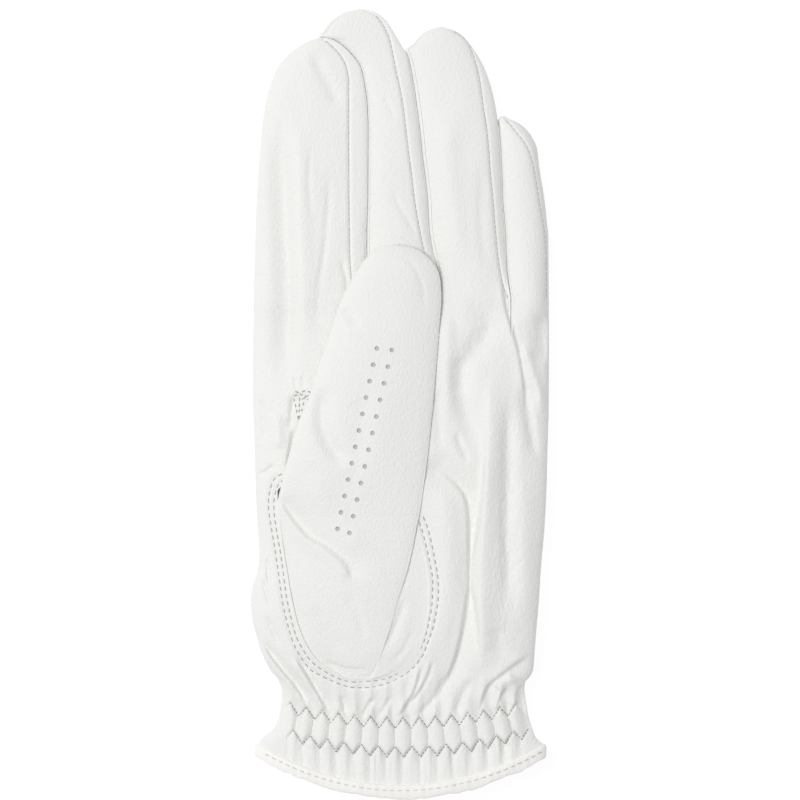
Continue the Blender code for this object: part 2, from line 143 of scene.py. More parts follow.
SEAM_OUTER = [
    (-34.6, -21.6), (-36.9, -23.2), (-38, -25.2), (-38.7, -28.2), (-38.9, -31.8), (-38.2, -37),
    (-37.1, -43.4), (-36.3, -48.6), (-35.4, -54.8), (-34.4, -61.2), (-32.8, -67.8), (-30.8, -73.4),
    (-27, -79.2), (-23.6, -81.4), (-19.8, -83.2), (-15.4, -84.8), (-11, -85.1), (-6.4, -84.5),
    (-1.2, -82.6), (3.4, -79.6), (6.5, -75.8), (8.3, -71.4), (9.8, -67.2), (10.7, -62.8),
    (11.3, -58.6), (11.2, -52.6), (10.4, -47.6), (9.1, -41.2), (7.8, -36.6), (6.4, -33.6),
]
SEAM_INNER = [
    (-33.8, -23.2), (-35.7, -24.7), (-36.8, -27.4), (-37.3, -30.8), (-37, -35.4), (-36.3, -39.8),
    (-35.4, -44.8), (-34.6, -50.4), (-33.7, -57), (-32.8, -61.8), (-30.9, -69.2), (-29, -73.2),
    (-26.6, -76.8), (-23.6, -79.4), (-19.2, -81.9), (-14.8, -83.3), (-9.8, -83.2), (-5.6, -82.7),
    (-1.4, -81.2), (2.6, -78.2), (5.2, -75), (7.2, -71), (8.7, -64.8), (9.5, -59.8), (9.7, -53.6),
    (9, -48.8), (7.8, -43.4), (6.4, -38), (5, -34.4),
]

# ---- small numeric tools


def smooth(x, table):
    """A smooth curve through the table's (position, value) rows that never overshoots them."""
    xs, vs = np.array(table, float).T
    x = np.clip(np.asarray(x, float), xs[0], xs[-1])
    step = np.diff(xs)
    slope = np.diff(vs) / step
    tangent = np.zeros_like(vs)
    same = slope[:-1] * slope[1:] > 0
    total = slope[:-1] + slope[1:]
    tangent[1:-1] = np.where(same, 2 * slope[:-1] * slope[1:] / np.where(same, total, 1), 0)
    tangent[0], tangent[-1] = slope[0], slope[-1]
    i = np.clip(np.searchsorted(xs, x, side="right") - 1, 0, len(xs) - 2)
    t = (x - xs[i]) / step[i]
    a = 2 * t**3 - 3 * t**2 + 1
    b = t**3 - 2 * t**2 + t
    c = 3 * t**2 - 2 * t**3
    d = t**3 - t**2
    return a * vs[i] + b * step[i] * tangent[i] + c * vs[i + 1] + d * step[i] * tangent[i + 1]


def curve_through(points, spacing=0.5, closed=False):
    """Evenly spaced points on a smooth curve through the given ones."""
    p = np.array(points, float)
    if closed:
        p = np.vstack([p[-1:], p, p[:2]])
    else:
        p = np.vstack([2 * p[0] - p[1], p, 2 * p[-1] - p[-2]])
    t = np.linspace(0, 1, 16, endpoint=False)[:, None]
    pieces = []
    for a, b, c, d in zip(p, p[1:], p[2:], p[3:]):
        pieces.append(0.5 * (2 * b + (c - a) * t + (2 * a - 5 * b + 4 * c - d) * t**2
                             + (3 * b - a - 3 * c + d) * t**3))
    line = np.vstack(pieces + ([] if closed else [p[-2:-1]]))
    if closed:
        line = np.vstack([line, line[:1]])
    length = np.concatenate([[0], np.cumsum(np.linalg.norm(np.diff(line, axis=0), axis=1))])
    count = max(2, int(round(length[-1] / spacing)) + 1)
    at = np.linspace(0, length[-1], count)
    return np.stack([np.interp(at, length, line[:, k]) for k in range(line.shape[1])], axis=1)


def step(x, low, high):
    """0 below low, 1 above high and smooth between them."""
    t = np.clip((x - low) / (high - low), 0, 1)
    return t * t * (3 - 2 * t)


def lattice(ix, iy, seed):
    """A fixed number from -1 to 1 for each whole ix and iy."""
    h = (ix * 374761393 + iy * 668265263 + seed * 974711) & 0xFFFFFFFF
    h = ((h ^ (h >> 13)) * 1274126177) & 0xFFFFFFFF
    return ((h ^ (h >> 16)) & 0xFFFF) / 32767.5 - 1.0


def noise(x, y, seed):
    """Smooth noise from -1 to 1 with a cell of 1."""
    ix, iy = np.floor(x).astype(np.int64), np.floor(y).astype(np.int64)
    fx, fy = x - ix, y - iy
    ux, uy = fx * fx * (3 - 2 * fx), fy * fy * (3 - 2 * fy)
    a, b = lattice(ix, iy, seed), lattice(ix + 1, iy, seed)
    c, d = lattice(ix, iy + 1, seed), lattice(ix + 1, iy + 1, seed)
    return (a * (1 - ux) + b * ux) * (1 - uy) + (c * (1 - ux) + d * ux) * uy


def stroke_field(x, y, points):
    """Signed distance to a curve (positive on its right) and the place along it from 0 to 1."""
    line = curve_through(points, 1.5)
    best = np.full(x.shape, 1e9)
    signed = np.zeros(x.shape)
    along = np.zeros(x.shape)
    count = len(line) - 1
    for i, (a, b) in enumerate(zip(line, line[1:])):
        ab = b - a
        t = np.clip(((x - a[0]) * ab[0] + (y - a[1]) * ab[1]) / (ab @ ab), 0, 1)
        dx, dy = x - a[0] - ab[0] * t, y - a[1] - ab[1] * t
        d = np.hypot(dx, dy)
        side = np.sign(ab[1] * dx - ab[0] * dy)
        nearer = d < best
        best = np.where(nearer, d, best)
        signed = np.where(nearer, d * np.where(side == 0, 1, side), signed)
        along = np.where(nearer, (i + t) / count, along)
    return signed, along


def near_curve(x, y, points, left, right, fade, edge=None):
    """1 on a curve, less with the distance on each side and at its ends.

    With an edge, it changes sign across the curve within that distance: -1 left, 1 right.
    """
    reach = 3.2 * max(left, right)
    box = np.array(points)
    near = ((x > box[:, 0].min() - reach) & (x < box[:, 0].max() + reach)
            & (y > box[:, 1].min() - reach) & (y < box[:, 1].max() + reach))
    out = np.zeros(x.shape)
    if near.any():
        d, t = stroke_field(x[near], y[near], points)
        width = np.where(d > 0, right, left)
        ends = step(t, -0.001, fade) * step(1 - t, -0.001, fade)
        turn = 1 if edge is None else np.tanh(d / edge)
        out[near] = turn * np.exp(-(d / width) ** 2) * ends
    return out


def fold(x, y, points, height, left, right, fade=0.25):
    """A fold along a curve: this high, with its own width on each side, fading out at its ends."""
    return height * near_curve(x, y, points, left, right, fade)


def crease_step(x, y, points, height, left, right, fade=0.2, edge=0.4):
    """A step along a curve, high on the right of its direction, fading out on both sides."""
    return height * near_curve(x, y, points, left, right, fade, edge)


# ---- folds of the palm leather
# Soft folds: points, height, width on the left of the direction, width on its right
PALM_FOLDS = [
    ([(16.6, -9), (18.6, -14.6), (20.8, -18.6)], -0.5, 0.8, 1.2),
    # the thenar bulge
    ([(10, -20), (14.2, -32), (15.2, -48), (13.8, -64), (10.5, -77)], 0.7, 4.5, 5),
    # the long ridge on the right of the valley beside it
    ([(27.5, 12), (26.6, -6), (26, -24), (24.8, -40), (23.8, -54), (24.6, -66),
      (24.6, -84)], 1.1, 4, 1.9),
    ([(31.8, 4), (31.8, -20), (31.6, -38), (32, -52), (31, -66)], -0.85, 2.3, 2),
    ([(37, -20), (37.2, -40), (37.4, -58), (36, -70)], 0.45, 3, 3),
    # the twisting valley below the ring finger
    ([(22, 33), (23.2, 27), (26, 21.5), (22.6, 15.6), (18.6, 10), (17.9, 4),
      (19.4, -3), (21.3, -11), (21.8, -18)], -0.85, 3.2, 3),
    ([(18.6, 13.6), (18.8, 7), (18.4, 1)], -0.4, 2.2, 2.6),
    ([(14.4, 28), (14.2, 8), (14.8, -8)], 0.45, 2, 2.2),
    ([(11.6, 4), (11.6, -8), (12.4, -16)], -0.3, 1.2, 1.6),
    # beside the crease that runs down from between ring and little finger
    ([(36.4, 18), (38.6, 10), (41.2, 3), (42.4, -5)], 0.8, 1.5, 1.4),
    ([(42.4, 27), (42, 18), (42.6, 10)], -0.9, 2, 2.4),
    ([(36.6, 6), (37.8, -3), (38.8, -10), (40.2, -18)], -0.8, 1.7, 1.8),
    # the bulge above the right side of the wrist
    ([(34.2, -81.6), (31.2, -83.4), (28.6, -86)], 0.9, 2, 1.6),
    ([(28, -67), (29, -71), (28.4, -76)], -0.35, 2.2, 2.2),
    # left of the thumb hole
    ([(-42.4, -22.2), (-39.6, -21.2), (-37, -19)], -0.5, 0.6, 0.6),
    # the side of the wrist
    ([(36.4, -85), (37, -93), (38.6, -101)], -0.45, 2.6, 2.8),
    ([(-39.4, -46.5), (-39, -51), (-38.6, -55.6)], -0.55, 0.45, 0.6),
    ([(-41.3, -52.4), (-39.6, -56.6), (-38.2, -61.6)], -0.5, 0.45, 0.6),
    ([(-39.6, -63.6), (-37.4, -68.4), (-35.4, -72.4)], -0.45, 0.6, 0.8),
    # between the thumb hole and the wrist
    ([(-6.2, -94), (-4.2, -90.6), (-3, -87.4)], -0.45, 0.7, 0.8),
    ([(-10.9, -94), (-9.3, -90.6), (-7.6, -88)], -0.7, 0.7, 0.8),
    ([(-16.4, -93), (-16.6, -90), (-17.6, -87.4)], -0.5, 0.7, 0.8),
    ([(16.2, -94), (18.4, -88), (21, -82)], -0.6, 1.3, 1.3),
    ([(3.4, -95), (9.2, -89.6), (12, -85), (14.2, -80)], -0.5, 0.9, 1.2),
    # index finger
    ([(-36.4, 88), (-35, 74), (-34.2, 58), (-33.6, 42), (-33.2, 26), (-34, 10),
      (-34, 0)], -1.5, 2.2, 4),
    ([(-29.4, 84), (-29.6, 60), (-28.6, 36), (-27.8, 12)], 0.4, 3, 1.6),
    ([(-26.4, 76), (-27, 65), (-26, 53)], -0.16, 0.9, 0.8),
    ([(-20.8, 69), (-21.4, 56), (-22.6, 43), (-24.2, 32), (-24.6, 22)], -0.26, 1.1, 0.9),
    ([(-26, 104), (-23, 97), (-20, 91), (-18, 86)], -0.38, 2, 1.7),
    ([(-17.6, 42), (-15.8, 36), (-15.6, 30)], -0.4, 0.8, 1),
    # around the stitched keystone at the root of the thumb
    ([(-31.6, 1.5), (-31.9, -4), (-32.6, -9)], -0.7, 0.6, 0.8),
    ([(-31.2, -8), (-31.8, -13), (-33.2, -21)], -0.7, 0.9, 0.8),
    ([(-29.6, 2.6), (-29.4, -4)], -0.5, 2, 2.2),
    ([(-41.4, 1), (-40.4, -6), (-39.6, -13.4)], -0.5, 1.2, 1),
    ([(-36.2, -3), (-36, -9), (-35.6, -15)], 0.5, 1.6, 1.6),
    ([(-30.6, 3.4), (-31.4, 6.6)], -0.25, 0.5, 0.5),
    ([(-28.8, 3.4), (-28.6, 7.4)], -0.25, 0.5, 0.5),
    # middle, ring and little finger
    ([(-2.6, 62), (1.6, 54.6), (5.4, 48.6)], -0.2, 0.8, 1),
    ([(-5, 91), (-3, 86.6), (-1.2, 83)], -0.14, 0.7, 0.9),
    ([(15, 88), (14.6, 70), (16.6, 52), (18, 38)], 0.4, 3.4, 3.4),
    ([(24.4, 70), (24, 54), (25.4, 38)], -0.25, 2, 1.4),
]
# The soft valley at the edge of the thenar bulge, which starts and ends more suddenly
THENAR_VALLEY = (
    [(7.2, -17), (13, -22.1), (18.2, -27.4), (19.7, -33.4), (20, -44), (20, -54),
     (19, -62), (17.8, -70), (15.6, -78), (12.4, -85), (9, -92)], -0.8, 4.2, 3.6, 0.07)
# Steps, where the leather on the right of the direction overlaps what is on its left:
# points, height of the step, width on the left, width on the right
PALM_STEPS = [
    # the thenar bulge over the valley, then the long ridge over it
    ([(9, -18.4), (13.4, -22.3), (18.5, -27.6), (19.9, -33.4), (20.2, -44), (20.2, -54),
      (19.2, -62), (17.9, -70), (15.7, -78), (13, -84), (10, -90)], 0.65, 2.8, 3),
    ([(23.4, -80), (23.2, -68), (21.9, -59.6), (20.9, -54), (21.4, -47), (22.8, -38),
      (24.2, -30), (25, -20), (25.6, -8)], 0.5, 2.6, 3),
    ([(29.6, 38), (30.6, 31), (31.8, 25), (34, 18), (35.6, 11), (36.6, 4),
      (37.4, -4)], 0.4, 1.8, 2.2),
    ([(38.6, -75), (34, -78.2), (30, -81.2), (26, -84.6), (24.2, -89), (23.2, -93.4)],
     0.5, 2.4, 2.8),
    ([(-41.6, -46.6), (-43, -52), (-43.5, -58), (-43.1, -64)], 0.3, 1.2, 1.2),
    ([(-41.4, -71), (-38.6, -75.6), (-34.4, -80.8), (-30, -86.4), (-27.6, -91.6)],
     0.85, 2, 2.4),
    ([(-31.6, -75.6), (-28.4, -80.2), (-25, -86), (-21.4, -92.6)], 0.75, 1.6, 2),
    ([(6.2, -78), (5.4, -82), (3.8, -86.6), (1.6, -90.4), (-1.2, -94.6)], 0.5, 1.4, 1.6),
    ([(9.6, -76.4), (8, -81.4), (5.4, -86.4), (2.4, -90.4)], 0.45, 1, 1.4),
    ([(31.4, -84.6), (29.6, -88), (28.2, -92.4)], 0.4, 1.2, 1.4),
    ([(36.8, -84), (34.4, -86.6), (34.2, -91)], 0.3, 1.4, 2),
]
# Crinkled patches: centre, half sizes, height and how fine they are across and along
CRINKLES = [
    ((31.6, -38), (5, 34), 0.11, 1.15, 0.36),
    ((32, -40), (9, 32), 0.055, 1.7, 1.2),
    ((22.5, 20), (6, 13), 0.10, 0.95, 0.40),
    ((39.5, 18), (5, 14), 0.08, 1, 0.35),
    ((29, -70), (6, 7), 0.08, 0.75, 0.7),
    ((38.5, -6), (4, 12), 0.08, 1, 0.35),
    ((16.5, -46), (4, 20), 0.06, 1.1, 0.5),
]

ZIGZAG_UPPER = dict(start=-32.4, end=34.4, peaks=15, middle=1.0, low=-95.6, rise=4.6, half=1.6)
ZIGZAG_LOWER = dict(start=-31.4, end=38.6, peaks=15, middle=1.0, low=-104.2, rise=5.2, half=1.55)
ZIGZAG_REACH = 35.0  # a row's middle line has risen by its rise this far from its middle
PUFF_HEIGHT = 1.85
PUFF_FLOOR = 0.35  # the share of a puff that lies below the smooth section
PLEATS_ABOVE = (0.8, 7.0)  # height, and how far they reach from the stitching
PLEATS_BELOW = (0.6, 6.0)
PUCKER = 0.35
ZIGZAG_PULL = (0.55, 0.38)  # how deep the upper and the lower stitching pull the leather down
ZIGZAG_PULL_WIDTH = 0.7


def zigzag_pitch(row):
    return (row["end"] - row["start"]) / (row["peaks"] - 1)


def zigzag_middle(x, row):
    """Height in y of a zigzag row's middle line, which follows the curve of the cuff."""
    return row["low"] + row["rise"] * ((x - row["middle"]) / ZIGZAG_REACH) ** 2


def zigzag_line(x, row):
    """The zigzag itself: y of the stitching at x."""
    turns = (x - row["start"]) / zigzag_pitch(row)
    wave = 1 - 4 * np.abs(turns - np.round(turns))
    return zigzag_middle(x, row) + row["half"] * wave


def pleat_fade(beyond, reach):
    """1 beside the stitching and less further out, from 0 on the other side of it."""
    return np.exp(-np.clip(beyond, 0, 99) / reach) * step(beyond, -0.2, 0.8)


def gathers(x, y):
    """The puffs between the two zigzag rows and the pleats that run out of them."""
    upper, lower = ZIGZAG_UPPER, ZIGZAG_LOWER
    top, bottom = zigzag_middle(x, upper), zigzag_middle(x, lower)
    place = np.clip((top - y) / (top - bottom), 0, 1)
    turns_up = (x - upper["start"]) / zigzag_pitch(upper)
    turns_low = (x - lower["start"]) / zigzag_pitch(lower) + 0.5
    puff = np.abs(np.cos(np.pi * (turns_up * (1 - place) + turns_low * place))) ** 0.6
    jitter = 0.75 + 0.25 * noise(x * 0.13, y * 0.05, 5)
    inside_top = zigzag_line(x, upper) - y
    inside_bottom = y - zigzag_line(x, lower)
    band = step(inside_top, -0.1, 1.4) * step(inside_bottom, -0.1, 1.4)
    z = PUFF_HEIGHT * band * (puff - PUFF_FLOOR) * jitter
    # pleats that open out above the upper row and below the lower one
    fine = noise(x * 0.85, y * 0.06, 14) + 0.6 * noise(x * 1.7, y * 0.1, 15)
    height, reach = PLEATS_ABOVE
    pleats = np.cos(2 * np.pi * turns_up + 1.3 * noise(x * 0.08, y * 0.06, 8))
    pleats = height * pleats * (0.8 + 0.5 * noise(x * 0.1, y * 0.0 + 3, 9))
    z += (pleats + 0.16 * fine) * pleat_fade(-inside_top, reach)
    height, reach = PLEATS_BELOW
    pleats = -height * np.cos(2 * np.pi * turns_low)
    z += (pleats + PUCKER * fine) * pleat_fade(-inside_bottom, reach)
    for pull, inside in zip(ZIGZAG_PULL, (inside_top, inside_bottom)):
        z -= pull * np.exp(-(inside / ZIGZAG_PULL_WIDTH) ** 2)
    return z * step(x, -35.0, -31.5) * step(-x, -38.6, -34.0)


def wrinkles(x, y, seed=0):
    """Fine leather creases, mostly along the hand."""
    bend = 1.4 * noise(x * 0.07, y * 0.05, seed + 1)
    a = noise(x * 0.55 + bend, y * 0.16, seed + 2)
    b = noise(x * 1.3 + bend * 1.7, y * 0.85, seed + 3)
    c = noise(x * 0.16, y * 0.08, seed + 4)
    where = step(noise(x * 0.05 + 7, y * 0.035, seed + 5), -0.5, 0.6)
    return where * (0.045 * a + 0.018 * b) + 0.16 * c


RELIEF = 1.4  # scale of every fold and step of the palm
SEAM_CHANNEL = (-0.34, 0.55)
GATHERS_START = -82.0


def palm_relief(x, y):
    """All that the palm leather adds to its smooth section: folds, steps, crinkles and gathers."""
    z = wrinkles(x, y)
    for row in (*PALM_FOLDS, THENAR_VALLEY):
        z = z + RELIEF * fold(x, y, *row)
    for row in PALM_STEPS:
        z = z + RELIEF * crease_step(x, y, *row)
    for centre, half, height, across, along in CRINKLES:
        far = ((x - centre[0]) / half[0]) ** 2 + ((y - centre[1]) / half[1]) ** 2
        bend = 1.6 * noise(x * 0.2, y * 0.12, 41)
        z = z + height * np.exp(-far) * (noise(x * across + bend, y * along, 42)
                                         + 0.5 * noise(x * across * 2, y * along * 2, 43))
    wrist = y < GATHERS_START
    z[wrist] += gathers(x[wrist], y[wrist])
    # the two seams round the thumb hole sit in shallow channels
    height, width = SEAM_CHANNEL
    for seam in (SEAM_OUTER, SEAM_INNER):
        z = z + fold(x, y, seam, height, width, width, 0.02)
    return z


# ---- sections of the hand
# Rows of y and height: the crown, the edge and the underside, then how far the cuff bows down
HAND_HIGH = [(-104.2, 12.4), (-97, 12.0), (-90, 12.2), (-82, 13.6), (-72, 14.8), (-60, 15.0),
             (-30, 15.0), (0, 14.6), (20, 13.6), (30, 13.0)]
HAND_EDGE = [(-104.2, 8.0), (-84, 8.2), (-60, 8.2), (-30, 7.8), (30, 7.0)]
HAND_LOW = [(-104.2, 3.2), (-60, 3.1), (-45, 1.3), (-30, 0.3), (30, 0.2)]
HAND_BOW = [(-104.2, 12.0), (-100.4, 11.6), (-97, 10.2), (-91, 6.5), (-84, 2.6), (-78, 0.5),
            (-74, 0)]
ROUND = 3.1  # 2 gives an oval section, larger values a boxier one
CROTCH_FADE = 13.0  # over this length the hand's section turns into the fingers' sections
CUFF_INSET = 1.2  # the leather ends this far inside its edging
FINE_ROWS_BELOW = -83.0

# Each finger: heights of its left and right edge, crown by y, and on which sides it has a strip,
# which are the sides where another finger lies against it
FINGERS = {
    "index": dict(left=INDEX_LEFT, right=INDEX_RIGHT, seam=INDEX_SEAM, edges=(7.8, 10.2),
                  high=[(30, 13.2), (50, 12.2), (80, 11.8), (107.5, 11.0)], columns=120,
                  strips=(False, True)),
    "middle": dict(left=MIDDLE_LEFT, right=MIDDLE_RIGHT, seam=MIDDLE_SEAM, edges=(8.4, 8.8),
                   high=[(30, 13.0), (50, 11.6), (80, 11.1), (116, 10.0)], columns=100,
                   strips=(True, True)),
    "ring": dict(left=RING_LEFT, right=RING_RIGHT, seam=RING_SEAM, edges=(7.5, 7.2),
                 high=[(30, 13.0), (50, 11.4), (80, 10.8), (111, 9.6)], columns=100,
                 strips=(True, True)),
    "little": dict(left=LITTLE_LEFT, right=LITTLE_RIGHT, seam=LITTLE_SEAM, edges=(6.2, 4.2),
                   high=[(30, 12.4), (50, 10.2), (84.4, 8.4)], columns=84,
                   strips=(True, False)),
}
FINGER_ROUND = 2.25
FINGER_LOW = 0.25
INNER_GROWTH = 0.13  # how far a side grows towards the finger beside it
TIP_ROUNDING = 13.0
TIP_ROUND = 2.2
TIP_LIFT = 0.3  # how far the tip's point lies above the middle of the edges
ROOT_NOTCH = 1.3  # depth of the grooves between the fingers at their roots
ROOT_FADE = 20.0
SEAM_GROOVE = (0.32, 0.5)  # depth and width


def arch(u, power=ROUND):
    """Height of a rounded section of width 2 and height 1."""
    return (1 - np.minimum(np.abs(u), 1) ** power) ** (1 / power)


def finger_sides(finger, y):
    """Left and right edges, grown a little where another finger lies against this one."""
    on_left, on_right = finger["strips"]
    left = smooth(y, finger["left"]) - INNER_GROWTH * on_left
    return left, smooth(y, finger["right"]) + INNER_GROWTH * on_right


def finger_section(finger, y, phi):
    """Points of a finger's section. phi is 0 on its right edge, pi / 2 on top and pi on its left."""
    left, right = finger_sides(finger, y)
    tip = finger["left"][-1][0]
    near = np.clip((tip - y) / TIP_ROUNDING, 0, 1)
    full = arch(1 - near, TIP_ROUND)
    edge_left, edge_right = finger["edges"]
    point = (edge_left + edge_right) / 2 + TIP_LIFT
    u = np.cos(phi)
    edge = edge_left + (edge_right - edge_left) * (u + 1) / 2
    edge = point + (edge - point) * full
    high = point + (smooth(y, finger["high"]) - point) * full
    low = point + (FINGER_LOW - point) * full
    side = np.sin(phi)
    root = (high - ROOT_NOTCH - edge) * (1 - step(y, CROTCH_Y, CROTCH_Y + ROOT_FADE))
    on_left, on_right = finger["strips"]
    edge = edge + root * np.where(u > 0, on_right, on_left) * np.abs(u) * (side > 0)
    lift = arch(u, FINGER_ROUND)
    z = np.where(side >= 0, edge + (high - edge) * lift, edge - (edge - low) * lift)
    x = (left + right) / 2 + (right - left) / 2 * u
    return x, y + 0 * x, z


def seam_groove(finger, x, y):
    depth, width = SEAM_GROOVE
    off = (x - smooth(y, finger["seam"])) / width
    return depth * np.exp(-off * off)


def relief_mask(phi):
    """The share of the folds that a finger's section keeps: none on its edges and below."""
    return step(np.sin(phi), 0.0, 0.35)


def finger_rows(finger, spacing=0.55):
    """Row positions from the crotch to the tip, closer together at the tip."""
    tip = finger["left"][-1][0]
    count = int((tip - CROTCH_Y) / spacing)
    t = np.linspace(0, 1, count)
    return CROTCH_Y + (tip - CROTCH_Y) * (1 - (1 - t) ** 1.35)


def finger_grid(finger, start, end, columns, relief=True):
    """A grid of the finger between two angles, which may each be a function of y."""
    y = finger_rows(finger)[:, None]
    low = start(y) if callable(start) else start + 0 * y
    high = end(y) if callable(end) else end + 0 * y
    t = np.linspace(0, 1, columns)[None, :]
    phi = low + (high - low) * t
    x, yy, z = finger_section(finger, y + 0 * phi, phi)
    if relief:
        z = z + relief_mask(phi) * palm_relief(x.ravel(), yy.ravel()).reshape(x.shape)
        z = z - seam_groove(finger, x, yy) * step(np.sin(phi), 0.0, 0.3)
    else:
        z = z - relief_mask(-phi) * wrinkles(x, yy, 80)
    return np.stack([x, yy, z], axis=2)


def hand_fractions(upper):
    """Places across the hand, right to left, that match the four fingers at the crotch line."""
    xs, zs, masks = [], [], []
    for finger in reversed(FINGERS.values()):
        phi = np.linspace(0, np.pi, finger["columns"])
        if not upper:
            phi = -phi
        x, _, z = finger_section(finger, np.full(phi.shape, CROTCH_Y), phi)
        xs.append(x)
        zs.append(z)
        masks.append(relief_mask(phi))
    x, z, mask = np.concatenate(xs), np.concatenate(zs), np.concatenate(masks)
    left, right = HAND_LEFT[-1][1], HAND_RIGHT[-1][1]
    return (x - left) / (right - left), z, mask


def hand_plan(fraction, y):
    """x and bowed y for places across the hand at row y."""
    left, right = smooth(y, HAND_LEFT), smooth(y, HAND_RIGHT)
    u = 2 * fraction - 1
    return left + (right - left) * fraction, y - smooth(y, HAND_BOW) * (1 - u * u)


def hand_height(fraction, y, upper=True):
    """Height of the hand's smooth section, on its upper or lower side."""
    edge = smooth(y, HAND_EDGE)
    u = 2 * fraction - 1
    if upper:
        return edge + (smooth(y, HAND_HIGH) - edge) * arch(u)
    return edge - (edge - smooth(y, HAND_LOW)) * arch(u)


def hand_mask(u):
    """The share of the folds that the hand keeps, which fades out at its edges."""
    return step(arch(u), 0.05, 0.5)


def hand_grid(upper, spacing=0.5):
    """A grid of the palm or back leather, from the cuff to the crotch line."""
    fraction, finger_z, finger_mask = hand_fractions(upper)
    gathered = np.arange(HAND_LEFT[0][0] + CUFF_INSET, FINE_ROWS_BELOW, spacing / 2)
    count = int((CROTCH_Y - FINE_ROWS_BELOW) / spacing)
    y = np.concatenate([gathered, np.linspace(FINE_ROWS_BELOW, CROTCH_Y, count)])[:, None]
    f = fraction[None, :] + 0 * y
    x, yy = hand_plan(f, y + 0 * f)
    z = hand_height(f, y + 0 * f, upper)
    near = step(1 - (CROTCH_Y - y) / CROTCH_FADE, 0, 1) ** 1.5
    z = z + (finger_z[None, :] - z) * near
    if upper:
        relief = palm_relief(x.ravel(), yy.ravel()).reshape(x.shape)
        mask = hand_mask(2 * f - 1)
        z = z + relief * (mask + (finger_mask[None, :] - mask) * near)
    else:
        z = z - wrinkles(x, yy, 80) * hand_mask(2 * f - 1)
    grid = np.stack([x, yy, z], axis=2)
    return grid if upper else grid[:, ::-1]


def palm_z(x, y, relief=True):
    """Height of the palm leather at points well below the crotch line."""
    x, y = np.asarray(x, float), np.asarray(y, float)
    row = y.copy()
    for _ in range(12):
        left, right = smooth(row, HAND_LEFT), smooth(row, HAND_RIGHT)
        u = np.clip(2 * (x - left) / (right - left) - 1, -1, 1)
        row = y + smooth(row, HAND_BOW) * (1 - u * u)
    fraction = (u + 1) / 2
    plain = hand_height(fraction, row)
    return plain + palm_relief(x, y) * hand_mask(u) if relief else plain


# ---- materials


def node(tree, kind, **inputs):
    """A new shader node with these inputs, given with _ for each space in their names."""
    made = tree.nodes.new(kind)
    for name, value in inputs.items():
        made.inputs[name.replace("_", " ")].default_value = value
    return made


def plain_material(name, **inputs):
    """A new material, and its tree and shader with these inputs."""
    mat = bpy.data.materials.new(name)
    mat.use_nodes = True
    shader = mat.node_tree.nodes["Principled BSDF"]
    for label, value in inputs.items():
        shader.inputs[label.replace("_", " ")].default_value = value
    return mat, mat.node_tree, shader


def vary_tone(tree, shader, texture, colour, darkest):
    """Lets a texture mix the colour with a darker one."""
    tone = node(tree, "ShaderNodeMixRGB", Color1=(*[c * darkest for c in colour], 1),
                Color2=(*colour, 1))
    tree.links.new(texture.outputs["Fac"], tone.inputs["Fac"])
    tree.links.new(tone.outputs["Color"], shader.inputs["Base Color"])


def leather(name, colour, grain=1.0, roughness=0.55):
    """White lambskin: fine pebbled grain, stretched pores and slight blotches of tone."""
    mat, tree, shader = plain_material(name, Roughness=roughness, Specular_IOR_Level=0.35,
                                       Sheen_Weight=0.06, Sheen_Roughness=0.5)
    link = tree.links.new
    place = tree.nodes.new("ShaderNodeTexCoord")
    stretch = node(tree, "ShaderNodeMapping", Scale=(1.0, 0.75, 1.0))
    link(place.outputs["Object"], stretch.inputs["Vector"])

    blotch = node(tree, "ShaderNodeTexNoise", Scale=55.0, Detail=3.0, Roughness=0.5)
    link(place.outputs["Object"], blotch.inputs["Vector"])
    vary_tone(tree, shader, blotch, colour, 0.985)

    pebble = tree.nodes.new("ShaderNodeTexVoronoi")
    pebble.feature = "SMOOTH_F1"
    pebble.inputs["Scale"].default_value = 1500.0
    pebble.inputs["Smoothness"].default_value = 0.6
    crease = node(tree, "ShaderNodeTexNoise", Scale=1500.0, Detail=3.0, Roughness=0.55)
    link(stretch.outputs["Vector"], pebble.inputs["Vector"])
    link(stretch.outputs["Vector"], crease.inputs["Vector"])
    fine = node(tree, "ShaderNodeBump", Strength=0.29 * grain, Distance=0.0003)
    link(pebble.outputs["Distance"], fine.inputs["Height"])
    soft = node(tree, "ShaderNodeBump", Strength=0.37 * grain, Distance=0.0006)
    link(crease.outputs["Fac"], soft.inputs["Height"])
    link(fine.outputs["Normal"], soft.inputs["Normal"])
    link(soft.outputs["Normal"], shader.inputs["Normal"])
    return mat


def thread_material(name, colour):
    """Matt cotton with a fine twist of tone."""
    mat, tree, shader = plain_material(name, Roughness=0.7, Specular_IOR_Level=0.2)
    place = tree.nodes.new("ShaderNodeTexCoord")
    twist = node(tree, "ShaderNodeTexNoise", Scale=2500.0)
    tree.links.new(place.outputs["Object"], twist.inputs["Vector"])
    vary_tone(tree, shader, twist, colour, 0.85)
    return mat


LEATHER = leather("white_lambskin", (0.905, 0.903, 0.884))
STRIP = leather("strip_lambskin", (0.92, 0.918, 0.90), 0.8)
# The edging is cream. Its colour is also lighter than the palm leather's as painted light, which lifts
# the shade on its rounded section.
EDGING = leather("edging_lambskin", (0.975, 0.965, 0.94), 0.6)
# Grey painted shade for the walls and floors of the thumb's perforations, which stands in for the dark
# inside of the holes.
HOLE_SHADE = leather("perforation_painted_shade", (0.62, 0.62, 0.60), 1.6, 0.9)
ELASTIC = leather("elastic_ribs", (0.85, 0.85, 0.84), 2.0, 0.9)
# The grey of the next three threads is painted shade: the real thread is white, and the grey gives the
# dark dashes of the stitch holes and of the grooves the rows sit in.
DARK_SHADE_STITCH = thread_material("dark_shade_stitch_thread", (0.32, 0.32, 0.31))
MID_SHADE_STITCH = thread_material("mid_shade_stitch_thread", (0.50, 0.50, 0.48))
FINE_SHADE_STITCH = thread_material("fine_shade_stitch_thread", (0.60, 0.60, 0.58))
WHITE_STITCH = thread_material("white_stitch_thread", (0.84, 0.83, 0.80))
PILE = leather("hook_and_loop_pile", (0.72, 0.72, 0.71), 3.5, 0.95)

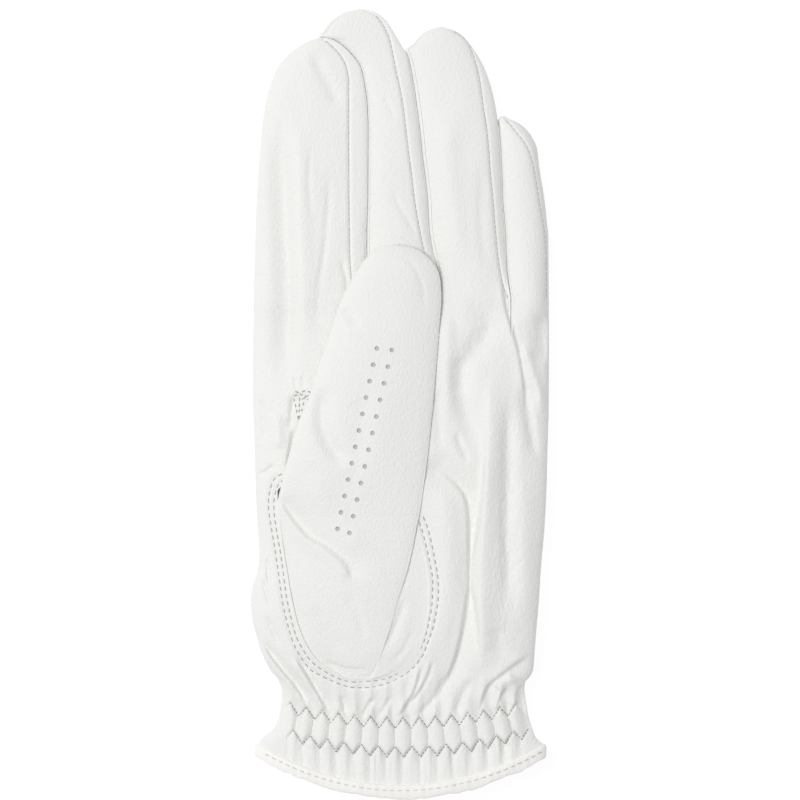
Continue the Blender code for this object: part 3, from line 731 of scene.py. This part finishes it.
# Kinds of stitches: pitch along a row, length, radius and thread
HOLE_STITCHES = (2.2, 1.35, 0.2, MID_SHADE_STITCH)
ZIGZAG_STITCHES = (1.08, 0.85, 0.11, DARK_SHADE_STITCH)
FINGER_STITCHES = (1.6, 1.25, 0.12, FINE_SHADE_STITCH)
THUMB_STITCHES = (1.7, 1.2, 0.12, FINE_SHADE_STITCH)
SIDE_STITCHES = (2.4, 1.5, 0.13, FINE_SHADE_STITCH)
CUFF_STITCHES = (2.3, 1.3, 0.17, WHITE_STITCH)
EDGE_STITCHES = (2.2, 1.4, 0.16, WHITE_STITCH)
KEYSTONE_STITCHES = (None, 1.05, 0.19, MID_SHADE_STITCH)

# ---- mesh makers


def shade_smooth(mesh, sharp):
    mesh.polygons.foreach_set("use_smooth", [True] * len(mesh.polygons))
    if sharp:
        mesh.set_sharp_from_angle(angle=math.radians(sharp))


def add_object(name, mesh):
    obj = bpy.data.objects.new(name, mesh)
    HERE.objects.link(obj)
    return obj


def make_mesh(name, points, faces, mat, sharp=50):
    """An object from points in millimetres; faces that meet at more than sharp degrees keep an edge."""
    mesh = bpy.data.meshes.new(name)
    mesh.from_pydata((np.asarray(points) * MM).tolist(), [], faces)
    mesh.materials.append(mat)
    shade_smooth(mesh, sharp)
    mesh.update()
    return add_object(name, mesh)


def grid_normals(p):
    """Outward normals, shortened where the grid closes to a point so that a wall stays inside."""
    n = np.cross(np.gradient(p, axis=0), np.gradient(p, axis=1))
    size = np.linalg.norm(n, axis=2, keepdims=True)
    return n / np.maximum(size, 1e-9) * np.clip(4 * size / np.median(size), 0, 1)


def grid_faces(rows, columns, first=0, flip=False):
    i = np.arange(rows - 1)[:, None] * columns + np.arange(columns - 1)[None, :] + first
    quads = np.stack([i, i + columns, i + columns + 1, i + 1], axis=2).reshape(-1, 4)
    return (quads[:, ::-1] if flip else quads).tolist()


def shell(name, p, mat, thickness=0.8):
    """A leather wall: the grid as its outer face and a copy moved inwards, joined at the rims."""
    rows, columns = p.shape[:2]
    inner = p - grid_normals(p) * thickness
    count = rows * columns
    points = np.concatenate([p.reshape(-1, 3), inner.reshape(-1, 3)])
    faces = grid_faces(rows, columns) + grid_faces(rows, columns, count, True)
    ring = ([j for j in range(columns)]
            + [i * columns + columns - 1 for i in range(1, rows)]
            + [(rows - 1) * columns + j for j in range(columns - 2, -1, -1)]
            + [i * columns for i in range(rows - 2, 0, -1)])
    for a, b in zip(ring, ring[1:] + ring[:1]):
        faces.append((a, b, b + count, a + count))
    return make_mesh(name, points, faces, mat)


def prism(name, outline, low, high):
    """An upright block with this outline."""
    count = len(outline)
    flat = np.asarray(outline)
    points = np.concatenate([np.column_stack([flat, np.full(count, low)]),
                             np.column_stack([flat, np.full(count, high)])])
    faces = [list(range(count))[::-1], list(range(count, 2 * count))]
    faces += [(i, (i + 1) % count, (i + 1) % count + count, i + count) for i in range(count)]
    mesh = bpy.data.meshes.new(name)
    mesh.from_pydata((points * MM).tolist(), [], faces)
    work = bmesh.new()
    work.from_mesh(mesh)
    bmesh.ops.recalc_face_normals(work, faces=work.faces)
    work.to_mesh(mesh)
    work.free()
    return add_object(name, mesh)


def cut(obj, cutter):
    """Cuts obj with the cutter, applies it and removes the cutter."""
    modifier = obj.modifiers.new("cut", "BOOLEAN")
    modifier.operation = "DIFFERENCE"
    modifier.solver = "EXACT"
    modifier.material_mode = "TRANSFER"
    modifier.object = cutter
    graph = bpy.context.evaluated_depsgraph_get()
    mesh = bpy.data.meshes.new_from_object(obj.evaluated_get(graph))
    obj.modifiers.clear()
    obj.data = mesh
    shade_smooth(mesh, 50)
    bpy.data.objects.remove(cutter)


UP = np.array([0.0, 0.0, 1.0])
TANGENT_REACH = 0.3
STITCH_FLAT = 0.8


def capsule_template(sides=8, rings=4):
    """A unit capsule along X: half length 1 plus round ends, radius 1."""
    points, faces = [], []
    quarter = [math.pi / 2 * k / rings for k in range(rings + 1)]
    profile = [(-1, -math.cos(a), math.sin(a)) for a in quarter]
    profile += [(1, math.cos(a), math.sin(a)) for a in reversed(quarter)]
    for shift, along, radius in profile:
        for s in range(sides):
            a = 2 * math.pi * s / sides
            points.append((shift, along, radius * math.cos(a), radius * math.sin(a)))
    rows = len(profile)
    for r in range(rows - 1):
        for s in range(sides):
            a, b = r * sides + s, r * sides + (s + 1) % sides
            faces.append((a, a + sides, b + sides, b))
    return np.array(points), faces


def stitches(name, centres, directions, up, kind):
    """Thread stitches as one mesh of small capsules, a little flat on the side they lie on."""
    _, length, radius, mat = kind
    template, template_faces = capsule_template()
    straight = max(length / 2 - radius, 0.01)
    points, faces = [], []
    for centre, along in zip(centres, directions):
        along = along / np.linalg.norm(along)
        side = np.cross(up, along)
        side = side / np.linalg.norm(side)
        first = len(points) * len(template)
        points.append(centre
                      + np.outer(template[:, 0] * straight + template[:, 1] * radius, along)
                      + np.outer(template[:, 2] * radius, side)
                      + np.outer(template[:, 3] * radius * STITCH_FLAT, np.cross(along, side)))
        faces += [tuple(v + first for v in f) for f in template_faces]
    return make_mesh(name, np.concatenate(points), faces, mat, None)


def stitch_row(name, path, start, kind, up=UP):
    """A row of stitches along a 3-D path, from a start on it."""
    p = np.asarray(path)
    along = np.concatenate([[0], np.cumsum(np.linalg.norm(np.diff(p, axis=0), axis=1))])
    at = np.arange(start, along[-1], kind[0])
    here, ahead, behind = (np.stack([np.interp(at + shift, along, p[:, k]) for k in range(3)], axis=1)
                           for shift in (0, TANGENT_REACH, -TANGENT_REACH))
    return stitches(name, here, ahead - behind, up, kind)


def sew_to_hand(obj, node_name):
    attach(obj, "hand")
    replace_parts(obj, node_name)


# ---- the hand
SLIT = [(-2.6, -125.0), (2.6, -125.0), (0.9, -62.6), (0.5, -61.6), (-0.5, -61.6), (-0.9, -62.6)]
SEAM_SINK = 0.02
ZIGZAG_RISE = 0.16


def bend_with(obj):
    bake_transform(obj)


def make_hand():
    """The palm leather with the hole for the thumb and the back leather with its slit."""
    palm = shell("palm_leather", hand_grid(True), LEATHER)
    cut(palm, prism("hole_cutter", curve_through(HOLE, 0.4, closed=True)[:-1], 8.0, 30.0))
    sew_to_hand(palm, "palm_panel")
    back = shell("back_leather", hand_grid(False, 0.9), LEATHER)
    cut(back, prism("slit_cutter", SLIT, -3.0, 8.0))
    sew_to_hand(back, "back_panel")


def make_hole_seams():
    """Two rows of stitches round the thumb hole."""
    for label, seam in (("outer", SEAM_OUTER), ("inner", SEAM_INNER)):
        line = curve_through(seam, 0.4)
        path = np.column_stack([line, palm_z(line[:, 0], line[:, 1]) - SEAM_SINK])
        obj = stitch_row(f"{label}_stitches", path, HOLE_STITCHES[0] / 2, HOLE_STITCHES)
        sew_to_hand(obj, f"thumb_seam_{label}_thread")


def make_zigzags():
    """The two zigzag rows of stitches over the gathered wrist."""
    for label, row in (("upper", ZIGZAG_UPPER), ("lower", ZIGZAG_LOWER)):
        corners = [row["start"] + zigzag_pitch(row) * k / 2 for k in range(2 * row["peaks"] - 1)]
        x = np.concatenate([np.linspace(a, b, 7, endpoint=False)
                            for a, b in zip(corners, corners[1:])])
        y = zigzag_line(x, row)
        path = np.column_stack([x, y, palm_z(x, y) + ZIGZAG_RISE])
        obj = stitch_row(f"zigzag_{label}_stitches", path, 0.0, ZIGZAG_STITCHES)
        sew_to_hand(obj, f"zigzag_{label}_thread")


# ---- the fingers
# Angles on a finger's section where its side strips meet the back leather
STRIP_LEFT, STRIP_RIGHT = math.radians(155), math.radians(-38)
EDGE_GAP = math.radians(0.5)
STRIP_GAP = 0.02
SEAM_HALF_GAP = 0.004
SEAM_DEPTH = 0.26
STITCH_TIP_GAP = 1.4


def seam_angle(finger, y):
    left, right = finger_sides(finger, y)
    u = (smooth(y, finger["seam"]) - (left + right) / 2) / ((right - left) / 2)
    return np.arccos(np.clip(u, -0.6, 0.999))


def finger_parts(finger):
    """The leather pieces of a finger: name, start and end angle, columns and material."""
    turn = 2 * np.pi
    front = [EDGE_GAP, np.pi - EDGE_GAP / 2]
    back = [np.pi + EDGE_GAP / 2, turn - EDGE_GAP]
    strips = []
    on_left, on_right = finger["strips"]
    if on_right:
        front[0] = lambda y: seam_angle(finger, y) + SEAM_HALF_GAP
        back[1] = turn + STRIP_RIGHT - STRIP_GAP
        strips.append(("right_fourchette", STRIP_RIGHT,
                       lambda y: seam_angle(finger, y) - SEAM_HALF_GAP, 40, STRIP))
    if on_left:
        front[1] = STRIP_LEFT - STRIP_GAP
        back[0] = turn - STRIP_LEFT + STRIP_GAP
        strips.append(("left_fourchette", STRIP_LEFT, turn - STRIP_LEFT, 16, STRIP))
    return [("front", *front, finger["columns"], LEATHER), ("back", *back, 48, LEATHER), *strips]


def make_finger_seam(name, finger):
    """Stitches along the seam between a finger's front and its right strip."""
    y = finger_rows(finger, 0.4)
    y = y[y < y[-1] - STITCH_TIP_GAP]
    phi = seam_angle(finger, y)
    x, yy, z = finger_section(finger, y, phi)
    z = z + relief_mask(phi) * palm_relief(x, yy) - SEAM_DEPTH
    obj = stitch_row(f"{name}_stitches", np.column_stack([x, yy, z]), 1.0, FINGER_STITCHES)
    bend_with(obj)
    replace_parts(obj, f"{name}_seam_thread")


def make_fingers():
    for name, finger in FINGERS.items():
        for part, start, end, columns, mat in finger_parts(finger):
            grid = finger_grid(finger, start, end, columns, part != "back")
            obj = shell(f"{name}_{part}_leather", grid, mat)
            bend_with(obj)
            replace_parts(obj, f"{name}_{part}")
        make_finger_seam(name, finger)


# ---- the thumb
THUMB_FOLDS = [
    ([(-1.5, 43), (3.6, 40.4), (6.6, 34), (7.4, 26)], -0.22, 0.8, 1),
    ([(-17, 27), (-14, 24.6), (-12.6, 21)], -0.5, 1.5, 1.8),
    ([(-22.4, 5), (-23.2, -3), (-22.6, -9), (-19.4, -15), (-14.6, -20)], -1.3, 2.6, 2.2),
    ([(-27.5, -20), (-22, -31), (-15, -40), (-11, -48)], 0.6, 4, 3),
    ([(-10, 6), (-12, -12), (-15, -30)], -0.3, 3, 3),
    ([(-26, -60), (-22, -68), (-16, -75)], -0.3, 2, 2.6),
    ([(-16, -56), (-12, -64), (-10, -72)], -0.3, 1.2, 2),
    ([(-23, -76.8), (-16, -79.6), (-8.6, -79.8)], -0.4, 0.7, 0.9),
]
# The crease across the thumb's root, where the leather below it overlaps the leather above
THUMB_CREASE = [
    (-36.4, -28.6), (-34.6, -31), (-31, -36), (-27.4, -40), (-22.4, -43.4), (-18.6, -46.2),
    (-15.6, -49.6), (-14.8, -54),
]
THUMB_STEP = (THUMB_CREASE, 0.8, 3.4, 3, 0.12, 0.75)
THUMB_PINCH = (THUMB_CREASE[:5], -0.45, 1.7, 0.5, 0.3)
# Height of the thumb's edges above the palm leather and of its crown above its edges, by place
# from 0 at the bottom of the hole to 1 at the tip
THUMB_LEFT_LIFT = [(0, -1), (0.1, -1.3), (0.36, -1.2), (0.43, 0.2), (0.5, 1.2), (1, 1.3)]
THUMB_RIGHT_LIFT = [(0, -0.9), (0.03, -0.1), (0.08, 0.35), (0.2, 0.45), (0.5, 0.35), (1, 0.45)]
THUMB_CROWN = [(0, 0.3), (0.12, 1.3), (0.3, 2.5), (0.5, 3.2), (0.7, 3.4), (0.85, 3), (1, 2.2)]
THUMB_RIGHT_ROUND = 1.7  # the right side of the thumb rounds down more gently than the left
THUMB_TIP_Y = 46.0
THUMB_TIP_ROUNDING = 12.0
THUMB_ROUND = 2.3
THUMB_BACK_SAG = 0.15
THUMB_HOLES = (((-6.8, 15.2), (-18.4, -38.0)), ((-2.4, 14.7), (-14.9, -39.2)))
HOLES_PER_ROW = 12
HOLE_RADIUS = 0.69
HOLE_DEPTH = 0.45


def thumb_rows(spacing=0.45):
    """Evenly spaced rows of the thumb sheet: place from 0 to 1, left x, y and right x, y."""
    table = np.array(THUMB_ROWS)
    left = np.linalg.norm(np.diff(table[:, :2], axis=0), axis=1)
    right = np.linalg.norm(np.diff(table[:, 2:], axis=0), axis=1)
    along = np.concatenate([[0], np.cumsum((left + right) / 2)])
    t = np.linspace(0, along[-1], int(along[-1] / spacing))
    sides = [smooth(t, np.column_stack([along, table[:, k]])) for k in range(4)]
    return t / along[-1], *sides


def thumb_relief(x, y):
    z = wrinkles(x, y, 20) * 0.6
    for row in (*THUMB_FOLDS, THUMB_PINCH):
        z = z + fold(x, y, *row)
    return z + crease_step(x, y, *THUMB_STEP)


def thumb_surface(upper, columns):
    """A grid of the thumb's front or back leather, lying on the palm."""
    t, lx, ly, rx, ry = thumb_rows()
    left_z = palm_z(lx, ly, False) + smooth(t, THUMB_LEFT_LIFT)
    right_z = palm_z(rx, ry, False) + smooth(t, THUMB_RIGHT_LIFT)
    phi = np.linspace(0, np.pi, columns)[None, :]
    u = np.cos(phi)
    t, lx, ly, rx, ry, left_z, right_z = (v[:, None] for v in (t, lx, ly, rx, ry, left_z, right_z))
    x = (lx + rx) / 2 + (rx - lx) / 2 * u
    y = (ly + ry) / 2 + (ry - ly) / 2 * u
    near = np.clip((THUMB_TIP_Y - (ly + ry) / 2) / THUMB_TIP_ROUNDING, 0, 1)
    full = arch(1 - near, TIP_ROUND)
    edge = left_z + (right_z - left_z) * (u + 1) / 2
    if not upper:
        z = edge - THUMB_BACK_SAG * arch(u) - wrinkles(x, y, 70) * arch(u)
        return np.stack([x, y, z], axis=2)[:, ::-1]
    rise = arch(u, THUMB_ROUND)
    rise = rise + (arch(u, THUMB_RIGHT_ROUND) - rise) * step(u, 0.0, 0.7)
    z = edge + smooth(t, THUMB_CROWN) * rise * full
    relief = thumb_relief(x.ravel(), y.ravel()).reshape(x.shape)
    z = z + relief * step(arch(u), 0.1, 0.6) * full
    return np.stack([x, y, z], axis=2)


def thumb_pins(surface):
    """Blind round cutters standing in the thumb's leather at each perforation; their grey, painted
    shade, passes to the walls and floors of the holes.
    """
    flat = surface.reshape(-1, 3)
    work = bmesh.new()
    for a, b in THUMB_HOLES:
        for i in range(HOLES_PER_ROW):
            x, y = np.array(a) + np.subtract(b, a) * i / (HOLES_PER_ROW - 1)
            top = flat[np.argmin((flat[:, 0] - x) ** 2 + (flat[:, 1] - y) ** 2), 2]
            made = bmesh.ops.create_cone(work, cap_ends=True, segments=18, radius1=HOLE_RADIUS * MM,
                                         radius2=HOLE_RADIUS * MM, depth=4 * MM)
            shift = Vector((x, y, top - HOLE_DEPTH + 2)) * MM
            bmesh.ops.translate(work, verts=made["verts"], vec=shift)
    mesh = bpy.data.meshes.new("pins")
    mesh.materials.append(HOLE_SHADE)
    work.to_mesh(mesh)
    work.free()
    return add_object("pins", mesh)


def make_thumb():
    surface = thumb_surface(True, 110)
    front = shell("thumb_front_leather", surface, LEATHER, 0.7)
    cut(front, thumb_pins(surface))
    back = shell("thumb_back_leather", thumb_surface(False, 60), LEATHER, 0.4)
    for obj, stands in ((front, "thumb_front"), (back, "thumb_back")):
        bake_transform(obj)
        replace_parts(obj, stands)


# Leather that closes the hole under the thumb: left x, y and right x, y, just past the hem
BASE_ROWS = [
    (-13.4, -83.6, -10.4, -82.9), (-18, -82.4, -5.8, -82.2), (-23, -79.8, -0.8, -80.8),
    (-28.4, -74, 3.9, -77.3), (-32, -66, 7, -71.7), (-33.6, -58, 8.6, -65.6), (-35, -51, 9.2, -59),
    (-36, -45, 8.9, -52.4), (-36.8, -38.5, 8, -46.8), (-37.4, -33, 6.6, -41.3),
    (-37.4, -27.5, 4.4, -33.4), (-34, -22.4, -1, -26.4), (-28, -21.6, -12, -22.6),
]
BASE_DEPTH = 1.75  # how far it sinks where the thumb covers it
BASE_TUCK = 0.07  # how far it lies below the palm elsewhere
BASE_COVER = (0.3, 3.5)  # it sinks over these distances in from the thumb's right edge
BASE_TOP = (-34.0, -28.0)  # and over this length at the top of the hole
BASE_CROWN = 0.25
BASE_FOLDS = [
    ([(-4.6, -74), (-1, -66), (1.6, -58)], -0.5, 0.8, 1.2),
    ([(-3, -78), (1, -74), (4.4, -67)], -0.35, 0.8, 1),
]


def make_thumb_base():
    table = np.array(BASE_ROWS)
    v = np.linspace(0, len(table) - 1, 130)
    lx, ly, rx, ry = (smooth(v, np.column_stack([np.arange(len(table)), table[:, k]]))[:, None]
                      for k in range(4))
    across = np.linspace(1, 0, 90)[None, :]
    x, y = lx + (rx - lx) * across, ly + (ry - ly) * across
    shape = x.shape
    x, y = x.ravel(), y.ravel()
    edge = [row[2:] for row in THUMB_ROWS[:10]]
    beyond, _ = stroke_field(x, y, edge)
    hidden = np.maximum(step(-beyond, *BASE_COVER), step(y, *BASE_TOP))
    relief = wrinkles(x, y, 60) + BASE_CROWN * (1 - hidden)
    for row in BASE_FOLDS:
        relief = relief + fold(x, y, *row)
    rim = (step(1 - across, 0.03, 0.16) + 0 * v[:, None]).ravel()
    z = palm_z(x, y, False) - BASE_TUCK - (BASE_DEPTH - BASE_TUCK) * hidden + relief * rim
    grid = np.stack([x, y, z], axis=1).reshape(*shape, 3)
    sew_to_hand(shell("thumb_base_leather", grid, LEATHER, 0.4), "thumb_base")


# ---- cuff edging
BINDING_HALF_WIDTH = 2.1
BINDING_HALF_THICK = 0.95
BINDING_ENDS = (math.radians(-84), math.radians(264))  # turns round the wrist, open at the back


def rounded(value, power=0.6):
    """A sine or cosine made flatter, so that a section is nearly a rounded box."""
    return math.copysign(abs(value) ** power, value)


def make_binding():
    """A folded leather edging round the cuff: a flat tube swept along its edge."""
    turn = np.linspace(*BINDING_ENDS, 420)
    row = np.full(turn.shape, HAND_LEFT[0][0] + 2.0)
    u = np.cos(turn)
    up = np.sin(turn) >= 0
    fraction = (u + 1) / 2
    x, y = hand_plan(fraction, row)
    z = np.where(up, hand_height(fraction, row), hand_height(fraction, row, False))
    wave = 0.35 * noise(x * 0.22, np.zeros_like(x), 31) + 0.2 * noise(x * 0.7, np.ones_like(x), 32)
    length = np.concatenate([[0], np.cumsum(np.hypot(np.diff(x), np.diff(y)))])
    pinch = 1 + 0.06 * np.cos(2 * np.pi * length / CUFF_STITCHES[0]) + 0.5 * wave
    around = np.linspace(0, 2 * np.pi, 33)
    outward = np.where(up, 1.0, -1.0) * arch(u, 2.0)
    sideways = u * (1 - arch(u, 2.0))
    p = np.zeros((len(turn), len(around), 3))
    for j, a in enumerate(around):
        wide = rounded(math.cos(a)) * BINDING_HALF_WIDTH
        thick = rounded(math.sin(a)) * BINDING_HALF_THICK * pinch
        p[:, j, 0] = x + sideways * thick
        p[:, j, 1] = y - BINDING_HALF_WIDTH + 0.1 + wide + wave * (0.5 - 0.5 * math.cos(a))
        p[:, j, 2] = z + outward * thick
    faces = grid_faces(len(turn), len(around), 0, True)
    sew_to_hand(make_mesh("cuff_edging", p.reshape(-1, 3), faces, EDGING, None), "cuff_binding")
    top = up & (np.abs(u) < 0.985)
    line = np.column_stack([x[top], y[top] - 1.5, z[top] + 0.93 * pinch[top]])
    obj = stitch_row("cuff_stitches", line, 0.8, CUFF_STITCHES)
    sew_to_hand(obj, "cuff_thread")


# ---- closure, elastic and edges


def soft_plate(name, outline, low, high, mat, bevel, body="hand"):
    """A flat piece with rounded edges."""
    obj = prism(name, outline, low, high)
    obj.data.materials.append(mat)
    work = bmesh.new()
    work.from_mesh(obj.data)
    rims = [e for e in work.edges if abs(e.verts[0].co.z - e.verts[1].co.z) < 1e-6]
    bmesh.ops.bevel(work, geom=rims, offset=bevel * MM, segments=3, profile=0.5, affect="EDGES")
    work.to_mesh(obj.data)
    work.free()
    shade_smooth(obj.data, 40)
    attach(obj, body)
    return obj


def rounded_box(left, right, low, high, left_corner, right_corner):
    """A rectangle's outline with its own corner radius at the left and at the right."""
    points = []
    corners = ((right, low, right_corner, -90), (right, high, right_corner, 0),
               (left, high, left_corner, 90), (left, low, left_corner, 180))
    for x, y, radius, start in corners:
        centre_x = x - radius if x == right else x + radius
        centre_y = y + radius if y == low else y - radius
        for k in range(7):
            turn = math.radians(start + 15 * k)
            points.append((centre_x + radius * math.cos(turn), centre_y + radius * math.sin(turn)))
    return points


def edge_stitches(name, outline, z, closed=True, body="hand"):
    """A row of stitches on the underside, at this height."""
    line = curve_through(outline, 0.5, closed)
    path = np.column_stack([line, np.full(len(line), z)])
    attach(stitch_row(name, path, 0.0, EDGE_STITCHES, -UP), body)


PILE_SCATTER = 0.25
PILE_HALF_WIDTH = 0.14
PILE_CORNER = 2.4  # how much of each corner stays bare


def pile(name, outline, z, spacing, height, body, seed):
    """Short upright hooks or loops scattered over a patch, as one mesh of small pyramids."""
    points, faces = [], []
    flat = np.array(outline)
    low, high = flat.min(axis=0), flat.max(axis=0)
    columns, rows = ((high - low) / spacing).astype(int)
    for i in range(1, rows):
        for j in range(1, columns):
            scatter = [PILE_SCATTER * lattice(np.int64(i), np.int64(j), seed + k) for k in range(3)]
            x = low[0] + j * spacing + scatter[0]
            y = low[1] + i * spacing + scatter[1]
            if min(x - low[0], high[0] - x) + min(y - low[1], high[1] - y) <= PILE_CORNER:
                continue
            half, first = PILE_HALF_WIDTH, len(points)
            points += [(x - half, y - half, z), (x + half, y - half, z), (x + half, y + half, z),
                       (x - half, y + half, z), (x + scatter[2], y, z + height)]
            faces += [(first + k, first + (k + 1) % 4, first + 4) for k in range(4)]
            faces.append((first + 3, first + 2, first + 1, first))
    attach(make_mesh(name, points, faces, PILE, None), body)


# Flat pieces on the back of the wrist: left, right, low, high and the radii of the corners at the
# left and the right, then the heights of their faces
TAB = (-9, 28, -96, -70, 0.6, 7)
TAB_STITCHED = (-7, 26.4, -94.4, -71.6, 0.5, 5.6)
TAB_Z = (0.05, 0.85)
HOOK = (8, 24, -93, -73, 3, 3)
HOOK_Z = (0.9, 1.3)
ROOT = (-22, -9.4, -96, -70, 3, 0.5)
ROOT_STITCHED = (-20.6, -10.6, -94.6, -71.4, 2, 0.5)
ROOT_Z = (1.9, 2.7)
LOOP = (7, 25, -95, -71, 4, 4)
LOOP_Z = (2.3, 2.7)
SLIT_EDGING = [
    (-6.2, -110), (-3, -110), (-1.1, -62.4), (-0.6, -61.6), (0.6, -61.6), (1.1, -62.4), (3, -110),
    (6.2, -110), (4.4, -62), (3.2, -59.8), (1.6, -58.8), (-1.6, -58.8), (-3.2, -59.8), (-4.4, -62),
]
SLIT_STITCHED = [(-4.6, -109), (-3.4, -80), (-2.7, -63), (0, -60.2), (2.7, -63), (3.4, -80),
                 (4.6, -109)]
SLIT_Z = (2.0, 2.75)


def make_tab():
    tab = soft_plate("closure_flap", rounded_box(*TAB), *TAB_Z, LEATHER, 0.25, "tab")
    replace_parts(tab, "closure_tab")
    edge_stitches("closure_flap_stitches", rounded_box(*TAB_STITCHED), 0.02, True, "tab")
    patch = soft_plate("hook_backing", rounded_box(*HOOK), *HOOK_Z, PILE, 0.1, "tab")
    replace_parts(patch, "hook_patch")
    pile("hook_pile", rounded_box(*HOOK), HOOK_Z[1], 0.9, 0.4, "tab", 3)


def make_wrist_back():
    """What the tab closes on: its root, the loop patch and the edging of the slit."""
    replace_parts(soft_plate("flap_root", rounded_box(*ROOT), *ROOT_Z, LEATHER, 0.25), "tab_base")
    edge_stitches("flap_root_stitches", rounded_box(*ROOT_STITCHED), 1.88)
    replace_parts(soft_plate("loop_backing", rounded_box(*LOOP), *LOOP_Z, PILE, 0.1), "loop_patch")
    pile("loop_pile", rounded_box(*LOOP), LOOP_Z[0], 0.8, -0.35, "hand", 7)
    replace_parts(soft_plate("slit_edging", SLIT_EDGING, *SLIT_Z, EDGING, 0.25), "slit_binding")
    edge_stitches("slit_stitches", SLIT_STITCHED, 1.96, False)


def make_elastic():
    """A ribbed elastic band inside the wrist, under the gathered leather."""
    y = np.arange(-105.0, -92.4, 0.25)[:, None]
    x = np.linspace(30.0, -29.0, 60)[None, :]
    x, y = x + 0 * y, y + 0 * x
    ribs = 0.12 * np.cos(2 * np.pi * y / 1.25)
    z = palm_z(x.ravel(), y.ravel(), False).reshape(x.shape) - 2.2 + ribs
    sew_to_hand(shell("elastic_band", np.stack([x, y, z], axis=2), ELASTIC, 0.6), "wrist_elastic")


OUT = np.array([1.0, 0.0, 0.0])
SIDE_SEAM = (-96.0, 49.0)  # its ends, in y
SIDE_SEAM_DROP = 1.0  # how far it runs below the edge


def make_side_seam():
    """Stitches up the little-finger side of the hand and of the finger."""
    y = np.arange(*SIDE_SEAM, SIDE_STITCHES[0])
    on_hand = y < CROTCH_Y
    x = np.where(on_hand, smooth(y, HAND_RIGHT), smooth(y, LITTLE_RIGHT)) - 0.12
    z = np.where(on_hand, smooth(y, HAND_EDGE), 4.4) - SIDE_SEAM_DROP
    centres = np.column_stack([x, y, z])
    side = stitches("side_stitches", centres, np.gradient(centres, axis=0), OUT, SIDE_STITCHES)
    bend_with(side)
    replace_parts(side, "side_seam_thread")


THUMB_SEAM_START = 0.62


def make_thumb_seam():
    """Topstitching on the free part of the thumb's right edge."""
    t, _, _, rx, ry = thumb_rows()
    z = palm_z(rx, ry, False) + smooth(t, THUMB_RIGHT_LIFT) + 0.1
    line = np.column_stack([rx - 0.1, ry, z])[t > THUMB_SEAM_START]
    tip = stitch_row("thumb_side_stitches", line, 0.5, THUMB_STITCHES)
    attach(tip, "thumb")
    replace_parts(tip, "thumb_tip_thread")


# The stitched keystone where the thumb leaves the palm
KEYSTONE_POINT = (-29.9, -6.4)
KEYSTONE_TOPS = ((-31.4, 0.6), (-29.7, 0.8), (-27.9, 1.4))
KEYSTONE_DOTS = ((-30.5, 2.4), (-28.5, 2.6), (-26.8, 2.4), (-30.9, 1.4), (-29.2, 1.6),
                 (-27.4, 1.2), (-28.6, 0.4), (-27.0, 0.2))


def make_keystone():
    """Rows of stitches that run to one point, with a few across their tops."""
    centres, directions = [], []
    point = np.array(KEYSTONE_POINT)
    for top in KEYSTONE_TOPS:
        top = np.array(top)
        for k in range(4):
            centres.append(top + (point - top) * (k + 0.3) / 4)
            directions.append((*(point - top), 0))
    for x, y in KEYSTONE_DOTS:
        centres.append(np.array((x, y)))
        directions.append((1.0, 0.4 * math.sin(5 * x), 0))
    flat = np.array(centres)
    z = palm_z(flat[:, 0], flat[:, 1]) + 0.02
    obj = stitches("keystone_stitches", np.column_stack([flat, z]), np.array(directions, float),
                   UP, KEYSTONE_STITCHES)
    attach(obj, "hand")


# ---- floor, light and camera
FLOOR_TONE = 0.14
FLOOR_GLOW = 0.9
SKY_STRENGTH = 0.445
KEY_PLACE = (-0.60, 0.32, 1.46)
KEY_SIZE = 0.85
KEY_ENERGY = 14.5
LENS, SENSOR = 200, 36
VIEW_WIDTH = 0.2368  # metres across the view at the height of the glove
VIEW_HEIGHT = 0.012


def make_floor():
    bpy.ops.mesh.primitive_plane_add(size=6, location=(0, 0, -0.0006))
    floor = bpy.context.active_object
    floor.name = "floor"
    mat, _, _ = plain_material("pale_floor", Base_Color=(FLOOR_TONE, FLOOR_TONE, FLOOR_TONE, 1),
                               Roughness=1.0, Specular_IOR_Level=0.0,
                               Emission_Color=(1, 1, 1, 1), Emission_Strength=FLOOR_GLOW)
    floor.data.materials.append(mat)


def make_light():
    world = bpy.data.worlds.new("studio")
    bpy.context.scene.world = world
    world.use_nodes = True
    sky = world.node_tree.nodes["Background"]
    sky.inputs["Color"].default_value = (1.0, 1.0, 1.0, 1)
    sky.inputs["Strength"].default_value = SKY_STRENGTH

    light = bpy.data.lights.new("key", "AREA")
    light.shape = "DISK"
    light.size = KEY_SIZE
    light.energy = KEY_ENERGY
    key = add_object("key", light)
    key.location = KEY_PLACE
    key.rotation_mode = "QUATERNION"
    key.rotation_quaternion = (-key.location.normalized()).to_track_quat("-Z", "Y")


def make_camera():
    """Straight above the glove."""
    camera = add_object("camera", bpy.data.cameras.new("camera"))
    camera.data.lens = LENS
    camera.data.sensor_width = SENSOR
    camera.data.clip_start = 0.01
    camera.location = (0, 0, VIEW_WIDTH / SENSOR * LENS + VIEW_HEIGHT)
    bpy.context.scene.camera = camera
    bpy.context.scene.view_settings.view_transform = "Standard"


make_hand()
make_hole_seams()
make_zigzags()
make_fingers()
make_thumb()
make_thumb_base()
make_binding()
make_tab()
make_wrist_back()
make_elastic()
make_side_seam()
make_thumb_seam()
make_keystone()
make_floor()
make_light()
make_camera()
